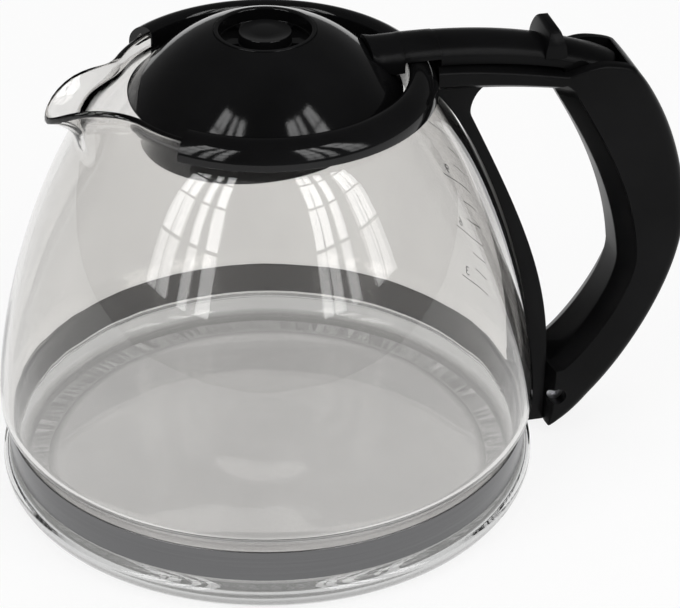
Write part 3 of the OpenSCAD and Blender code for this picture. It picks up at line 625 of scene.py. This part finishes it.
def buildDome():
    hole = inlet["radius"] + inlet["wall"] + 0.05
    r1, r2 = lid["radius"], lid["radius"] - lid["wall"]
    outer = [mix(hole + 0.3, r1, math.sin(math.radians(90 * i / 60))) for i in range(61)]
    outer = [(r, domeZ(r)) for r in outer]
    outer[-1] = (r1, lid["z"] + 0.35)
    inner = [mix(hole, r2, math.sin(math.radians(90 * i / 30))) for i in range(30, -1, -1)]
    inner = [(r, domeZ(r, r2, lid["height"] - lid["wall"])) for r in inner]
    top = [(hole, domeZ(hole) - 0.3)]
    rim = [(r1 - 0.12, lid["z"] + 0.08), (r1 - 0.4, lid["z"])]
    bm = spinProfile(top + outer + rim + inner, 150)
    for side in (-1, 1):
        at = (lid["screwX"], side * lid["screwY"])
        post = rod((*at, lid["z"] + lid["postHeight"]), lid["post"], lid["postHeight"], "Z")
        addTo(bm, combine(post, [rod((*at, lid["z"] + 2), lid["screwHole"], 8, "Z", 32)]))
    return addPiece("lidDome", bm, blackPlastic, "lid", ["lid_dome"], sharp=50)


def buildInlet():
    w, ri, ro, rd = inlet["wall"], inlet["radius"], inlet["radius"] + inlet["wall"], inlet["disc"]
    top = domeZ(ro)
    floor = top - inlet["depth"]
    low = floor - w
    discTop = top - inlet["discDrop"]
    outline = roundOutline([(rd, discTop), (rd, floor), (ri, floor), (ri, top), (ro, top), (ro, low),
                            (rd - w, low), (rd - w, discTop - w)],
                           [0.5, 0.25, 0.25, 0.45, 0.2, 0.1, 0.1, 0.1], 5)
    outline = [(0, discTop + 0.12), (rd * 0.5, discTop + 0.06)] + outline + [(0, discTop - w)]
    bm = spinProfile(outline, 108, closed=False)
    # drain slots sunk into the trough's floor
    turn = 360 / inlet["drains"]
    picked = []
    for f in bm.faces:
        c = f.calc_center_median()
        r, a = math.hypot(c.x, c.y) / mm, math.degrees(math.atan2(c.y, c.x)) % turn
        onFloor = rd + inlet["drainEdge"] < r < ri - inlet["drainEdge"] and abs(c.z / mm - floor) < 0.05
        if onFloor and a < inlet["drainShare"] * turn:
            picked.append(f)
    out = bmesh.ops.extrude_face_region(bm, geom=picked)["geom"]
    bmesh.ops.delete(bm, geom=picked, context="FACES_ONLY")
    bmesh.ops.translate(bm, vec=(0, 0, -inlet["drainDepth"] * mm), verts=vertsIn(out))
    return addPiece("inletInsert", bm, blackPlastic, "lid", ["inlet_insert"], sharp=50)


def buildSkirt():
    r1, r0 = lid["skirt"], lid["skirt"] - lid["skirtWall"]
    r2 = lid["radius"] - lid["wall"]
    low = lid["z"] - 2 * lid["skirtDrop"]
    h = lid["height"] - lid["wall"]
    outline = [(r0, low), (r1, low), (r1, domeZ(r1, r2, h) - 0.05), (r0, domeZ(r0, r2, h) - 0.05)]
    bm = spinProfile(outline, 120)
    tilt = math.radians(lid["slant"])
    cut = bmesh.ops.bisect_plane(bm, geom=bm.verts[:] + bm.edges[:] + bm.faces[:],
                                 plane_co=(0, 0, (lid["z"] - lid["skirtDrop"]) * mm),
                                 plane_no=(math.sin(tilt), 0, -math.cos(tilt)), clear_outer=True)
    rimEdges = [e for e in cut["geom_cut"] if isinstance(e, bmesh.types.BMEdge)]
    bmesh.ops.bridge_loops(bm, edges=rimEdges)
    bmesh.ops.recalc_face_normals(bm, faces=bm.faces)
    easeEdges(bm, 0.3, 60)
    return addPiece("lidSkirt", bm, blackPlastic, "lid", ["lid_skirt"])


buildDome()
buildInlet()
buildSkirt()
print("lid made")

# ---- lever and thumb tab
lever = {"halfWidth": 7.5, "rise": 6.9, "crown": 4.5, "knuckle": 4.5, "pinX": 87.0, "pinZ": 117.5,
         "recess": 14.2, "pinBore": 1.55, "room": 0.3, "frontShare": 0.97, "endShare": 0.94,
         "overX": (0.755, 0.667, 0.897, 0.873), "overZ": (0.85, 1, 0.57, 0.56),
         "underX": (0.713, 0.874, 0.3), "underZ": (0.115, 0.41, 0.3), "edge": 0.35, "edgeAbove": 129.0}
overX, overZ, underX, underZ = (lever[name] for name in ("overX", "overZ", "underX", "underZ"))
leverOver = [(lid["radius"] * overX[0], jug["height"] + lever["rise"] * overZ[0]),
             (lever["pinX"] * overX[1], jug["height"] + lever["rise"] * overZ[1]),
             (lever["pinX"] * overX[2], jug["height"] + lever["rise"] * overZ[2]),
             (lever["pinX"] + lever["recess"] * overX[3], lever["pinZ"] + lever["knuckle"] * overZ[3])]
leverUnder = [(collar["radius"] + lever["room"], jug["height"] - lever["room"]),
              (lever["pinX"] * underX[0], jug["height"] - lever["rise"] * underZ[0]),
              (lever["pinX"] * underX[1], jug["height"] - lever["rise"] * underZ[1]),
              (lever["pinX"] + lever["knuckle"] * underX[2], lever["pinZ"] + lever["knuckle"] * underZ[2])]
leverTail = (leverOver[3][0], lever["pinZ"] + lever["knuckle"] * 0.25)


def heightAt(curve, x):
    return bez(curve, shareAt(curve, 0, x)).y


def underAt(x):
    end = leverUnder[3]
    if x < end[0]:
        return heightAt(leverUnder, x)
    return mix(end[1], leverTail[1], (x - end[0]) / (leverTail[0] - end[0]))


def leverRing(x, under, half):
    # section of the lever: flat or dome-shaped under side, crowned top
    top = heightAt(leverOver, x)
    lowest = jug["height"] - lever["crown"] / 3
    ring = []
    for k in range(9):
        y = mix(-half, half, k / 8)
        ring.append((x, y, max(domeZ(math.hypot(x, y)) + 0.03, lowest) if under is None else under))
    side = max(top - lever["crown"], ring[0][2] + 0.35)
    for k in range(0, 25):
        a = math.pi * k / 24
        ring.append((x, half * math.cos(a), side + (top - side) * math.sin(a) ** 0.9))
    return [Vector(p) * mm for p in ring]


def buildLever():
    half = lever["halfWidth"]
    front = lid["radius"] - lever["room"]
    over = jug["height"] + collar["rise"] + lever["room"]
    backX = leverUnder[0][0]
    tailX = lever["pinX"] + lever["knuckle"]
    rings = [leverRing(mix(leverOver[0][0], front, k / 8), None, half * (1 if k else lever["frontShare"]))
             for k in range(9)]
    rings += [leverRing(mix(front + 0.05, backX - 0.05, k / 6), over, half) for k in range(7)]
    for k in range(48):
        x = mix(backX, tailX, k / 48)
        rings.append(leverRing(x, underAt(x), half))
    for k in range(17):
        s = math.sin(math.radians(90 * k / 16))
        x = mix(tailX, leverTail[0], s)
        rings.append(leverRing(x, underAt(x), half * math.sqrt(1 - lever["endShare"] * s * s)))
    bm = loftRings(rings)
    easeEdges(bm, lever["edge"], 40, 3,
              keep=lambda e: (e.verts[0].co.z + e.verts[1].co.z) / 2 > lever["edgeAbove"] * mm)
    at = (lever["pinX"], -half + 0.01, lever["pinZ"])
    addTo(bm, rod(at, lever["knuckle"], 2 * half - 0.02, segments=64))
    return addPiece("lidLever", bm, gripPlastic, "lid", ["lid_lever"])


tab = {"x": 80.0, "root": 123.77, "top": 132.2, "width": 15.6, "base": 6.0, "tip": 3.2, "neck": 2.25,
       "corner": 0.34, "edge": 0.25}


def buildTab():
    x, r, h = tab["x"], tab["root"], tab["top"]
    t, b, neck = tab["tip"] * 0.5, tab["base"] * 0.5, tab["root"] + tab["neck"]
    shoulderZ, crestZ = h - t * 0.8, h - t * 0.2
    outline = roundOutline([(x - b, r), (x + b, r), (x + b, neck), (x + t, shoulderZ), (x + t * 0.6, crestZ),
                            (x, h), (x - t * 0.6, crestZ), (x - t, shoulderZ), (x - b, neck)],
                           [0, 0, 1.4, 0.7, 0.4, 0.4, 0.4, 0.7, 1.4], 5)
    bm = slab(outline, tab["width"])
    # the plate's outline, seen along the lever, rounds the two upper corners
    w, c = tab["width"] / 2, tab["width"] * tab["corner"]
    turns = [math.radians(9 * k) for k in range(11)]
    side = [(w - c * (1 - math.cos(a)), h - c * (1 - math.sin(a))) for a in turns]
    plate = bmesh.new()
    rim = [(-w, r - 3), (w, r - 3)] + side + [(-y, z) for y, z in reversed(side)]
    verts, _ = lineLoop(plate, [((x - 20) * mm, y * mm, z * mm) for y, z in rim])
    out = bmesh.ops.extrude_face_region(plate, geom=[plate.faces.new(verts)])["geom"]
    bmesh.ops.translate(plate, vec=(50 * mm, 0, 0), verts=vertsIn(out))
    bmesh.ops.recalc_face_normals(plate, faces=plate.faces)
    bm = combine(bm, [plate], "INTERSECT")
    easeEdges(bm, tab["edge"], 50)
    return addPiece("thumbTab", bm, gripPlastic, "lid", ["thumb_tab"])


buildLever()
buildTab()
print("lever made")

# ---- handle shell and grip cover, lofted through stations
# Its curves are in shares of the reach beyond the belly and of the jug's height, and the beam's in shares
# of its length and of the collar's drop. The strap's sizes stand here too, as the shell is cut to fit it.
grip = {"reach": 44.2, "halfWidth": 11.0, "faceHalf": 5.0, "bevel": 4.4, "round": 4.0, "beamRound": 1.0,
        "beamBevel": 2.6, "kneeZ": 23.97, "footZ": 3.6, "heel": 0.74, "coverFrom": 0.16, "coverTo": 0.9,
        "seat": 0.05, "hollow": 9.0, "hollowWall": 2.6, "cornerEase": 0.45,
        "innerUp": ((0.072, 0.9165), (0.095, 0.879), (0.518, 0.695), (0.586, 0.4542)),
        "innerDown": ((0.586, 0.4542), (0.597, 0.3474), (0.165, 0.169)),
        "outerUp": ((0.51, 0.975), (0.79, 0.888), (1, 0.698), (1, 0.545)),
        "outerDown": ((1, 0.545), (1, 0.352), (0.455, 0.052)), "cheek": (0.442, 0.966), "cheekDrop": 0.74,
        "beamUnder": ((0, 1.31), (0.34, 1.33), (0.6, 1.6)), "beamOver": ((0, 0.14), (0.3, 0.2), (0.6, 0.66))}
strap = {"width": 14.0, "gap": 0.35, "backX": 82.5, "topX": 53.0, "topZ": 115.96, "tenonX": 45.0,
         "tenonZ": 119.8, "foot": 3.6, "corner": (61.5, 117.75), "cornerReach": 3.2, "edge": 0.6,
         "backShare": 0.422, "bendShare": (0.332, 0.595)}
# what the screws, the bolt and the pin need in the plastic
rooms = {"slack": 0.05, "screwHead": 2.15, "screwHeadDepth": 1.25, "screwShaft": 1.25, "collarShaft": 4.4,
         "strapX": 77.7, "strapZ": (7.8, 22.01), "strapShaft": 7.85, "boltHead": 2.55, "boltHeadY": -6.07,
         "nutAcross": 5.1, "nutY": 5.47, "outY": 22.0, "pinLength": 20.5}


def outAt(share):
    return Vector((jug["radius"] + grip["reach"] * share[0], jug["height"] * share[1]))


def stations():
    # inner point, outer point, half width of the inner face, bevel, rounding and whether the cover lies there
    g = grip
    h, cd, px = jug["height"], collar["drop"], lever["pinX"]
    x0 = collar["radius"] - collar["wall"]
    footX = strap["backX"] + g["seat"]
    beamUnder = [(mix(x0, px, a), h - cd * b) for a, b in g["beamUnder"]] + [outAt(g["innerUp"][0])]
    beamOver = [(mix(x0, px, a), h - cd * b) for a, b in g["beamOver"]]
    beamOver.append((px - lever["knuckle"], h - cd * 1.1))
    cheek = [Vector((px - lever["knuckle"] * 0.4, h - cd)),
             Vector((px + lever["knuckle"], h - cd * g["cheekDrop"])), outAt(g["cheek"])]
    inA = [outAt(share) for share in g["innerUp"]]
    inB = [outAt(share) for share in g["innerDown"]] + [(footX, g["kneeZ"])]
    outA = [outAt(share) for share in g["outerUp"]]
    outB = [outAt(share) for share in g["outerDown"]] + [(strap["backX"] + g["footZ"] * 0.3, g["footZ"])]
    wide = g["halfWidth"] - g["beamBevel"]
    rows = []
    for k in range(21):
        t = k / 20
        rows.append((bez(beamUnder, t), bez(beamOver, t), wide, g["beamBevel"], g["beamRound"], False))
    curve = [bez(beamOver, 0.8), bez(beamOver, 1)] + cheek + [bez(outA, 0.08), bez(outA, 0.16)]
    for i in range(4):
        for k in range(1, 5):
            t = (i + k / 4) / 4
            p0, p1, p2, p3 = curve[i], curve[i + 1], curve[i + 2], curve[i + 3]
            u = k / 4
            point = 0.5 * (2 * p1 + (p2 - p0) * u + (2 * p0 - 5 * p1 + 4 * p2 - p3) * u * u
                           + (3 * p1 - p0 - 3 * p2 + p3) * u ** 3)
            bevel, rounding = mix(g["beamBevel"], g["bevel"], t), mix(g["beamRound"], g["round"], t * 0.45)
            rows.append((bez(inA, t * 0.08), point, mix(wide, g["faceHalf"], t), bevel, rounding, False))
    upper = [0.12, g["coverFrom"] - 0.002, g["coverFrom"]]
    upper += [mix(g["coverFrom"], 1, k / 30) for k in range(1, 31)]
    for t in upper:
        rows.append((bez(inA, t), bez(outA, t), g["faceHalf"], g["bevel"],
                     mix(g["beamRound"], g["round"], min(1, 0.4 + 2 * t)), t >= g["coverFrom"]))
    lower = [mix(0, g["coverTo"], k / 32) for k in range(1, 33)] + [g["coverTo"] + 0.002, 0.95, 1]
    for t in lower:
        rows.append((bez(inB, t), bez(outB, t * g["heel"]), mix(g["faceHalf"], strap["width"] / 2, t * t),
                     mix(g["bevel"], g["beamBevel"], t * t), g["round"], t <= g["coverTo"]))
    for k in range(1, 13):
        t = k / 12
        foot = Vector((footX, mix(g["kneeZ"], g["footZ"] + g["seat"], t)))
        rows.append((foot, bez(outB, mix(g["heel"], 1, t)), mix(strap["width"] / 2, wide, t),
                     g["beamBevel"], mix(g["round"], g["beamRound"], t), False))
    return rows


gripStations = stations()


def ringAt(row, pairs):
    d = (row[1] - row[0]).normalized()
    return [Vector((row[0].x + d.x * p[0], p[1], row[0].y + d.y * p[0])) * mm for p in pairs]


def bevelOf(row):
    return min(row[3], (row[1] - row[0]).length * 0.34)


def shellRing(row):
    t, b, hw = (row[1] - row[0]).length, bevelOf(row), grip["halfWidth"]
    start = b if row[5] else 0.0
    r = min(row[4], t * 0.4)
    e = grip["cornerEase"]
    loop = roundOutline([(start, -row[2]), (start, row[2]), (b, hw), (t, hw), (t, -hw), (b, -hw)],
                        [e, e, e, r, r, e], 6)
    return ringAt(row, loop)


def coverRing(row):
    b = bevelOf(row)
    to = b - grip["seat"]
    w = mix(row[2], grip["halfWidth"], to / b)
    e = grip["cornerEase"]
    return ringAt(row, roundOutline([(0, -row[2]), (0, row[2]), (to, w), (to, -w)], [e, e, 0.12, 0.12], 5))


def hollowRing(row):
    b, w = bevelOf(row), grip["halfWidth"] - grip["hollowWall"]
    to = b + grip["hollow"]
    return ringAt(row, [(b * 0.7, -w), (b * 0.7, w), (to, w * 0.8), (to, -w * 0.8)])


def recessTool():
    # room for the lever's knuckle and its tail, a little wider than the lever
    x, z, r, k = lever["pinX"], lever["pinZ"], lever["recess"], lever["knuckle"] + lever["room"]
    low = math.radians(68.25)
    knuckleTurns = [math.radians(d) for d in range(180, 292, 8)]
    tailTurns = [math.radians(d) for d in range(-64, 91, 6)]
    points = [(x + k * math.cos(a), z + k * math.sin(a)) for a in knuckleTurns]
    points += [(x + r * math.cos(-low), z - r * math.sin(low))]
    points += [(x + r * math.cos(a), z + r * math.sin(a)) for a in tailTurns]
    points += [(x - k, z + r)]
    return slab(points, 2 * lever["halfWidth"] + 2 * lever["room"])


def strapScrewRooms(back=0.0):
    x, r = rooms["strapX"], rooms
    heads = [rod((x - back, 0, z), r["screwHead"], r["screwHeadDepth"] + back, "X") for z in r["strapZ"]]
    return heads + [rod((x, 0, z), r["screwShaft"], r["strapShaft"], "X", 32) for z in r["strapZ"]]


def earSlots():
    w, slack = band["wall"], rooms["slack"]
    slots = []
    for side in (-1, 1):
        y = side * (band["earGap"] / 2 + w / 2)
        slots.append(block(band["radius"] - 0.5, band["radius"] + band["earReach"] + slack, y - w / 2 - slack,
                           y + w / 2 + slack, band["low"] - slack, band["low"] + band["height"] + slack))
    return slots


def buildShell():
    bm = loftRings([shellRing(row) for row in gripStations])
    covered = [row for row in gripStations if row[5]]
    c, r, slack = collar, rooms, rooms["slack"]
    half = strap["width"] / 2 + slack
    tools = [loftRings([hollowRing(row) for row in covered[4:-4]]),
             rod((0, 0, 100), c["radius"] + slack, 40, "Z", 160),
             block(strap["tenonX"], c["radius"] + c["tongue"] + slack, -half, half, c["tongueZ"] - slack,
                   c["tongueZ"] + c["tongueThick"] + slack),
             block(strap["tenonX"] - 5, strap["topX"] + slack, -half, half, 105.85, strap["tenonZ"] + slack)]
    for side in (-1, 1):
        at = (c["screwX"], side * c["screwY"])
        tools.append(rod((*at, c["screwZ"] - 2), r["screwHead"], 2 + r["screwHeadDepth"], "Z"))
        tools.append(rod((*at, c["screwZ"]), r["screwShaft"], r["collarShaft"], "Z", 32))
    tools += strapScrewRooms() + earSlots()
    x, z = band["boltX"], band["boltZ"]
    tools.append(rod((x, -r["outY"], z), band["boltHole"], 2 * r["outY"]))
    tools.append(rod((x, -r["outY"], z), r["boltHead"], r["outY"] + r["boltHeadY"], segments=48))
    tools.append(rod((x, r["nutY"], z), r["nutAcross"] / math.sqrt(3), 20, segments=6))
    tools.append(recessTool())
    tools.append(rod((lever["pinX"], -r["pinLength"] / 2, lever["pinZ"]), lever["pinBore"], r["pinLength"]))
    return addPiece("handleShell", combine(bm, tools), gripPlastic, "jug", ["handle_shell"])


def buildCover():
    bm = loftRings([coverRing(row) for row in gripStations if row[5]])
    return addPiece("gripCover", bm, gripPlastic, "jug", ["grip_cover"])


buildShell()
buildCover()
print("handle made")


# ---- strap behind the glass
def buildStrap():
    s, h = strap, jug["height"]
    bendX, bendZ = s["bendShare"]
    face = [(s["backX"], grip["kneeZ"]), (s["backX"], h * s["backShare"]),
            (mix(s["backX"], s["topX"], bendX), h * bendZ), (s["topX"], s["topZ"])]
    outline = [(s["backX"], s["foot"])] + [bez(face, k / 48) for k in range(46)]
    low, corner, reach = bez(face, 45 / 48), Vector(s["corner"]), s["cornerReach"]
    turn = [low, low + heading(face, 45 / 48) * reach, corner - Vector((reach, 0)), corner]
    outline += [bez(turn, k / 12) for k in range(1, 13)]
    outline += [(corner.x, corner.y + 0.3), (s["topX"], corner.y + 0.3), (s["topX"], s["tenonZ"]),
                (collar["radius"] + 0.3, s["tenonZ"])]
    outline += [wallPoint(0.97 * k / 48, s["gap"]) for k in range(48, -1, -1)]
    outline += [(jug["radius"] + s["gap"], s["foot"])]
    bm = slab(outline, s["width"])
    half = s["width"] / 2 * mm - 1e-6
    easeEdges(bm, s["edge"], 60, 3, keep=lambda e: all(abs(abs(v.co.y) - half) < 1e-5 for v in e.verts))
    bm = combine(bm, earSlots() + strapScrewRooms(5.5))
    return addPiece("strapBar", bm, gripPlastic, "jug", ["strap"])


buildStrap()
print("strap made")

# ---- cup scale printed on the far side of the glass, beside the strap
scaleMarks = {"figures": [("12", 93.0), ("9", 72.5), ("6", 52.5), ("3", 34.0)], "ticks": 3, "height": 3.3,
              "angle": 23.0, "proud": 0.05, "line": (-13.0, 1.5), "tick": (-13.0, -6.0), "lineHeight": 0.38,
              "figureAt": (-2.6, 2.9)}


def wrapOnGlass(bm, angle, z):
    # flat (x across, y up) in millimetres to the outside of the glass
    for v in bm.verts:
        p = v.co / mm
        height = z + p.y
        r = jugRadius(height) + scaleMarks["proud"] + p.z
        a = math.radians(angle) + p.x / r
        v.co = Vector((r * math.cos(a), r * math.sin(a), height)) * mm


def markLine(bm, reach, z):
    s = scaleMarks
    part = bmesh.new()
    verts = bmesh.ops.create_grid(part, x_segments=12, y_segments=1, size=0.5)["verts"]
    bmesh.ops.scale(part, vec=((reach[1] - reach[0]) * mm, s["lineHeight"] * mm, 1), verts=verts)
    bmesh.ops.translate(part, vec=((reach[0] + reach[1]) / 2 * mm, 0, 0), verts=verts)
    wrapOnGlass(part, s["angle"], z)
    addTo(bm, part)


def buildScale():
    bm = bmesh.new()
    s = scaleMarks
    for i, (label, z) in enumerate(s["figures"]):
        curve = bpy.data.curves.new("figure", "FONT")
        curve.body = label
        curve.size = s["height"] * mm * 1.4
        curve.align_x, curve.align_y = "LEFT", "CENTER"
        textObj = bpy.data.objects.new("figure", curve)
        scene.collection.objects.link(textObj)
        part = finishedBmesh(textObj)
        bpy.data.objects.remove(textObj)
        bpy.data.curves.remove(curve)
        bmesh.ops.translate(part, vec=(s["figureAt"][0] * mm, s["figureAt"][1] * mm, 0), verts=part.verts)
        wrapOnGlass(part, s["angle"], z)
        addTo(bm, part)
        markLine(bm, s["line"], z)
        if i + 1 < len(s["figures"]):
            for k in range(1, s["ticks"]):
                markLine(bm, s["tick"], mix(z, s["figures"][i + 1][1], k / s["ticks"]))
    return addPiece("cupScale", bm, scalePrint, "jug")


buildScale()
print("scale made")

# ---- CAD pieces that stay as they are
for name in ("band_bolt", "band_nut", "collar_screws", "strap_screws", "hinge_pin", "lid_screws"):
    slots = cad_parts[name].data.materials
    slots.clear()
    slots.append(screwSteel)
print("fasteners dressed")

# ---- floor, light and camera
studio = {"floor": 0.92, "floorGlow": 0.86, "horizon": 0.16, "zenith": 0.06, "aimHeight": 0.07,
          "windowPower": 4.6, "fillPower": 34.0, "fillAt": (60, 78), "fillSpread": 60, "fillAway": 2.5}


def rayMask(nodes, links, *others):
    # 1 for the camera and for the other kinds of ray
    path = nodes.new("ShaderNodeLightPath")
    total = path.outputs["Is Camera Ray"]
    for other in others:
        join = nodes.new("ShaderNodeMath")
        join.operation = "MAXIMUM"
        links.new(total, join.inputs[0])
        links.new(path.outputs[other], join.inputs[1])
        total = join.outputs["Value"]
    return total


def blendShaders(nodes, links, share, first, second, output):
    # two shader nodes mixed by a share, into the output node
    blend = nodes.new("ShaderNodeMixShader")
    for source, socket in zip((share, first.outputs[0], second.outputs[0]), blend.inputs):
        links.new(source, socket)
    links.new(blend.outputs["Shader"], nodes[output].inputs["Surface"])


def buildFloor():
    bm = bmesh.new()
    bmesh.ops.create_grid(bm, x_segments=2, y_segments=2, size=4.0)
    floor = meshObject("floor", bm)
    mat = bpy.data.materials.new("paperFloor")
    mat.use_nodes = True
    nodes, links = mat.node_tree.nodes, mat.node_tree.links
    shader = nodes["Principled BSDF"]
    setInputs(shader, {"Base Color": (studio["floor"],) * 3 + (1,), "Roughness": 0.9,
                       "Specular IOR Level": 0.1})
    glow = nodes.new("ShaderNodeEmission")
    seen = rayMask(nodes, links, "Is Glossy Ray", "Is Transmission Ray")
    share = nodes.new("ShaderNodeMath")
    share.operation = "MULTIPLY"
    share.inputs[1].default_value = studio["floorGlow"]
    links.new(seen, share.inputs[0])
    blendShaders(nodes, links, share.outputs["Value"], shader, glow, "Material Output")
    floor.data.materials.append(mat)
    return floor


def buildWorld():
    world = bpy.data.worlds.new("studioWorld")
    scene.world = world
    world.use_nodes = True
    nodes, links = world.node_tree.nodes, world.node_tree.links
    room = nodes["Background"]
    coord = nodes.new("ShaderNodeTexCoord")
    split = nodes.new("ShaderNodeSeparateXYZ")
    links.new(coord.outputs["Generated"], split.inputs["Vector"])
    lift = colourRamp(nodes, links, split.outputs["Z"],
                      [(0.0, (studio["horizon"],) * 3), (0.35, (studio["horizon"] * 0.6,) * 3),
                       (0.95, (studio["zenith"],) * 3)])  # what mirrors see
    links.new(lift, room.inputs["Color"])
    white = nodes.new("ShaderNodeBackground")
    setInputs(white, {"Color": (1, 1, 1, 1)})
    blendShaders(nodes, links, rayMask(nodes, links, "Is Transmission Ray"), room, white, "World Output")


def direction(azimuth, elevation):
    a, e = math.radians(azimuth), math.radians(elevation)
    return Vector((math.cos(a) * math.cos(e), math.sin(a) * math.cos(e), math.sin(e)))


def addPane(name, azimuth, elevation, width, height, power, distance=2.2):
    # rectangular lamp that faces the jug, sizes given as angles seen from it
    light = bpy.data.lights.new(name, "AREA")
    light.shape = "RECTANGLE"
    light.size = 2 * distance * math.tan(math.radians(width / 2))
    light.size_y = 2 * distance * math.tan(math.radians(height / 2))
    light.energy = power
    lamp = bpy.data.objects.new(name, light)
    scene.collection.objects.link(lamp)
    toward = direction(azimuth, elevation)
    lamp.location = Vector((0, 0, studio["aimHeight"])) + toward * distance
    lamp.rotation_euler = toward.to_track_quat("Z", "Y").to_euler()
    return lamp


# azimuth and width of each column, then elevation, height and strength of each row
windows = {"columns": [(-159.2, 5.4), (-153.0, 5.6), (-142.0, 5.0), (-131.8, 6.6), (-73.8, 4.8), (-68.2, 5.0),
                       (-59.5, 5.4), (-45.4, 5.6), (-39.0, 5.8)],
           "rows": [(16.0, 13.0, 0.55), (30.5, 14.0, 0.8), (44.5, 12.0, 1.0), (56.0, 9.0, 1.0)]}


def buildLights():
    for i, (azimuth, width) in enumerate(windows["columns"]):
        for j, (elevation, height, share) in enumerate(windows["rows"]):
            spread = width * math.cos(math.radians(elevation))
            addPane(f"pane{i}{j}", azimuth, elevation, spread, height,
                    studio["windowPower"] * share * math.radians(spread) * math.radians(height) / 0.05)
    wide = studio["fillSpread"]
    soft = addPane("softTop", *studio["fillAt"], wide, wide, studio["fillPower"], studio["fillAway"])
    soft.visible_glossy = False  # it only fills the shadows


camera = {"place": (-0.1378, -0.6217, 0.4476), "forward": (0.2107, 0.8224, -0.5283), "roll": 0.61,
          "lens": 139.447, "sensor": 36.0}


def buildCamera():
    forward = Vector(camera["forward"]).normalized()
    right = forward.cross(Vector((0, 0, 1))).normalized()
    up = right.cross(forward)
    roll = math.radians(camera["roll"])
    side = right * math.cos(roll) + up * math.sin(roll)
    top = side.cross(forward)
    data = bpy.data.cameras.new("photoCamera")
    data.sensor_fit, data.sensor_width, data.lens = "HORIZONTAL", camera["sensor"], camera["lens"]
    data.clip_start, data.clip_end = 0.01, 30
    cam = bpy.data.objects.new("photoCamera", data)
    scene.collection.objects.link(cam)
    x, y, z = camera["place"]
    cam.matrix_world = Matrix(((side.x, top.x, -forward.x, x), (side.y, top.y, -forward.y, y),
                               (side.z, top.z, -forward.z, z), (0, 0, 0, 1)))
    scene.camera = cam


buildFloor()
buildWorld()
buildLights()
buildCamera()
scene.view_settings.view_transform = "Standard"
print("studio made")
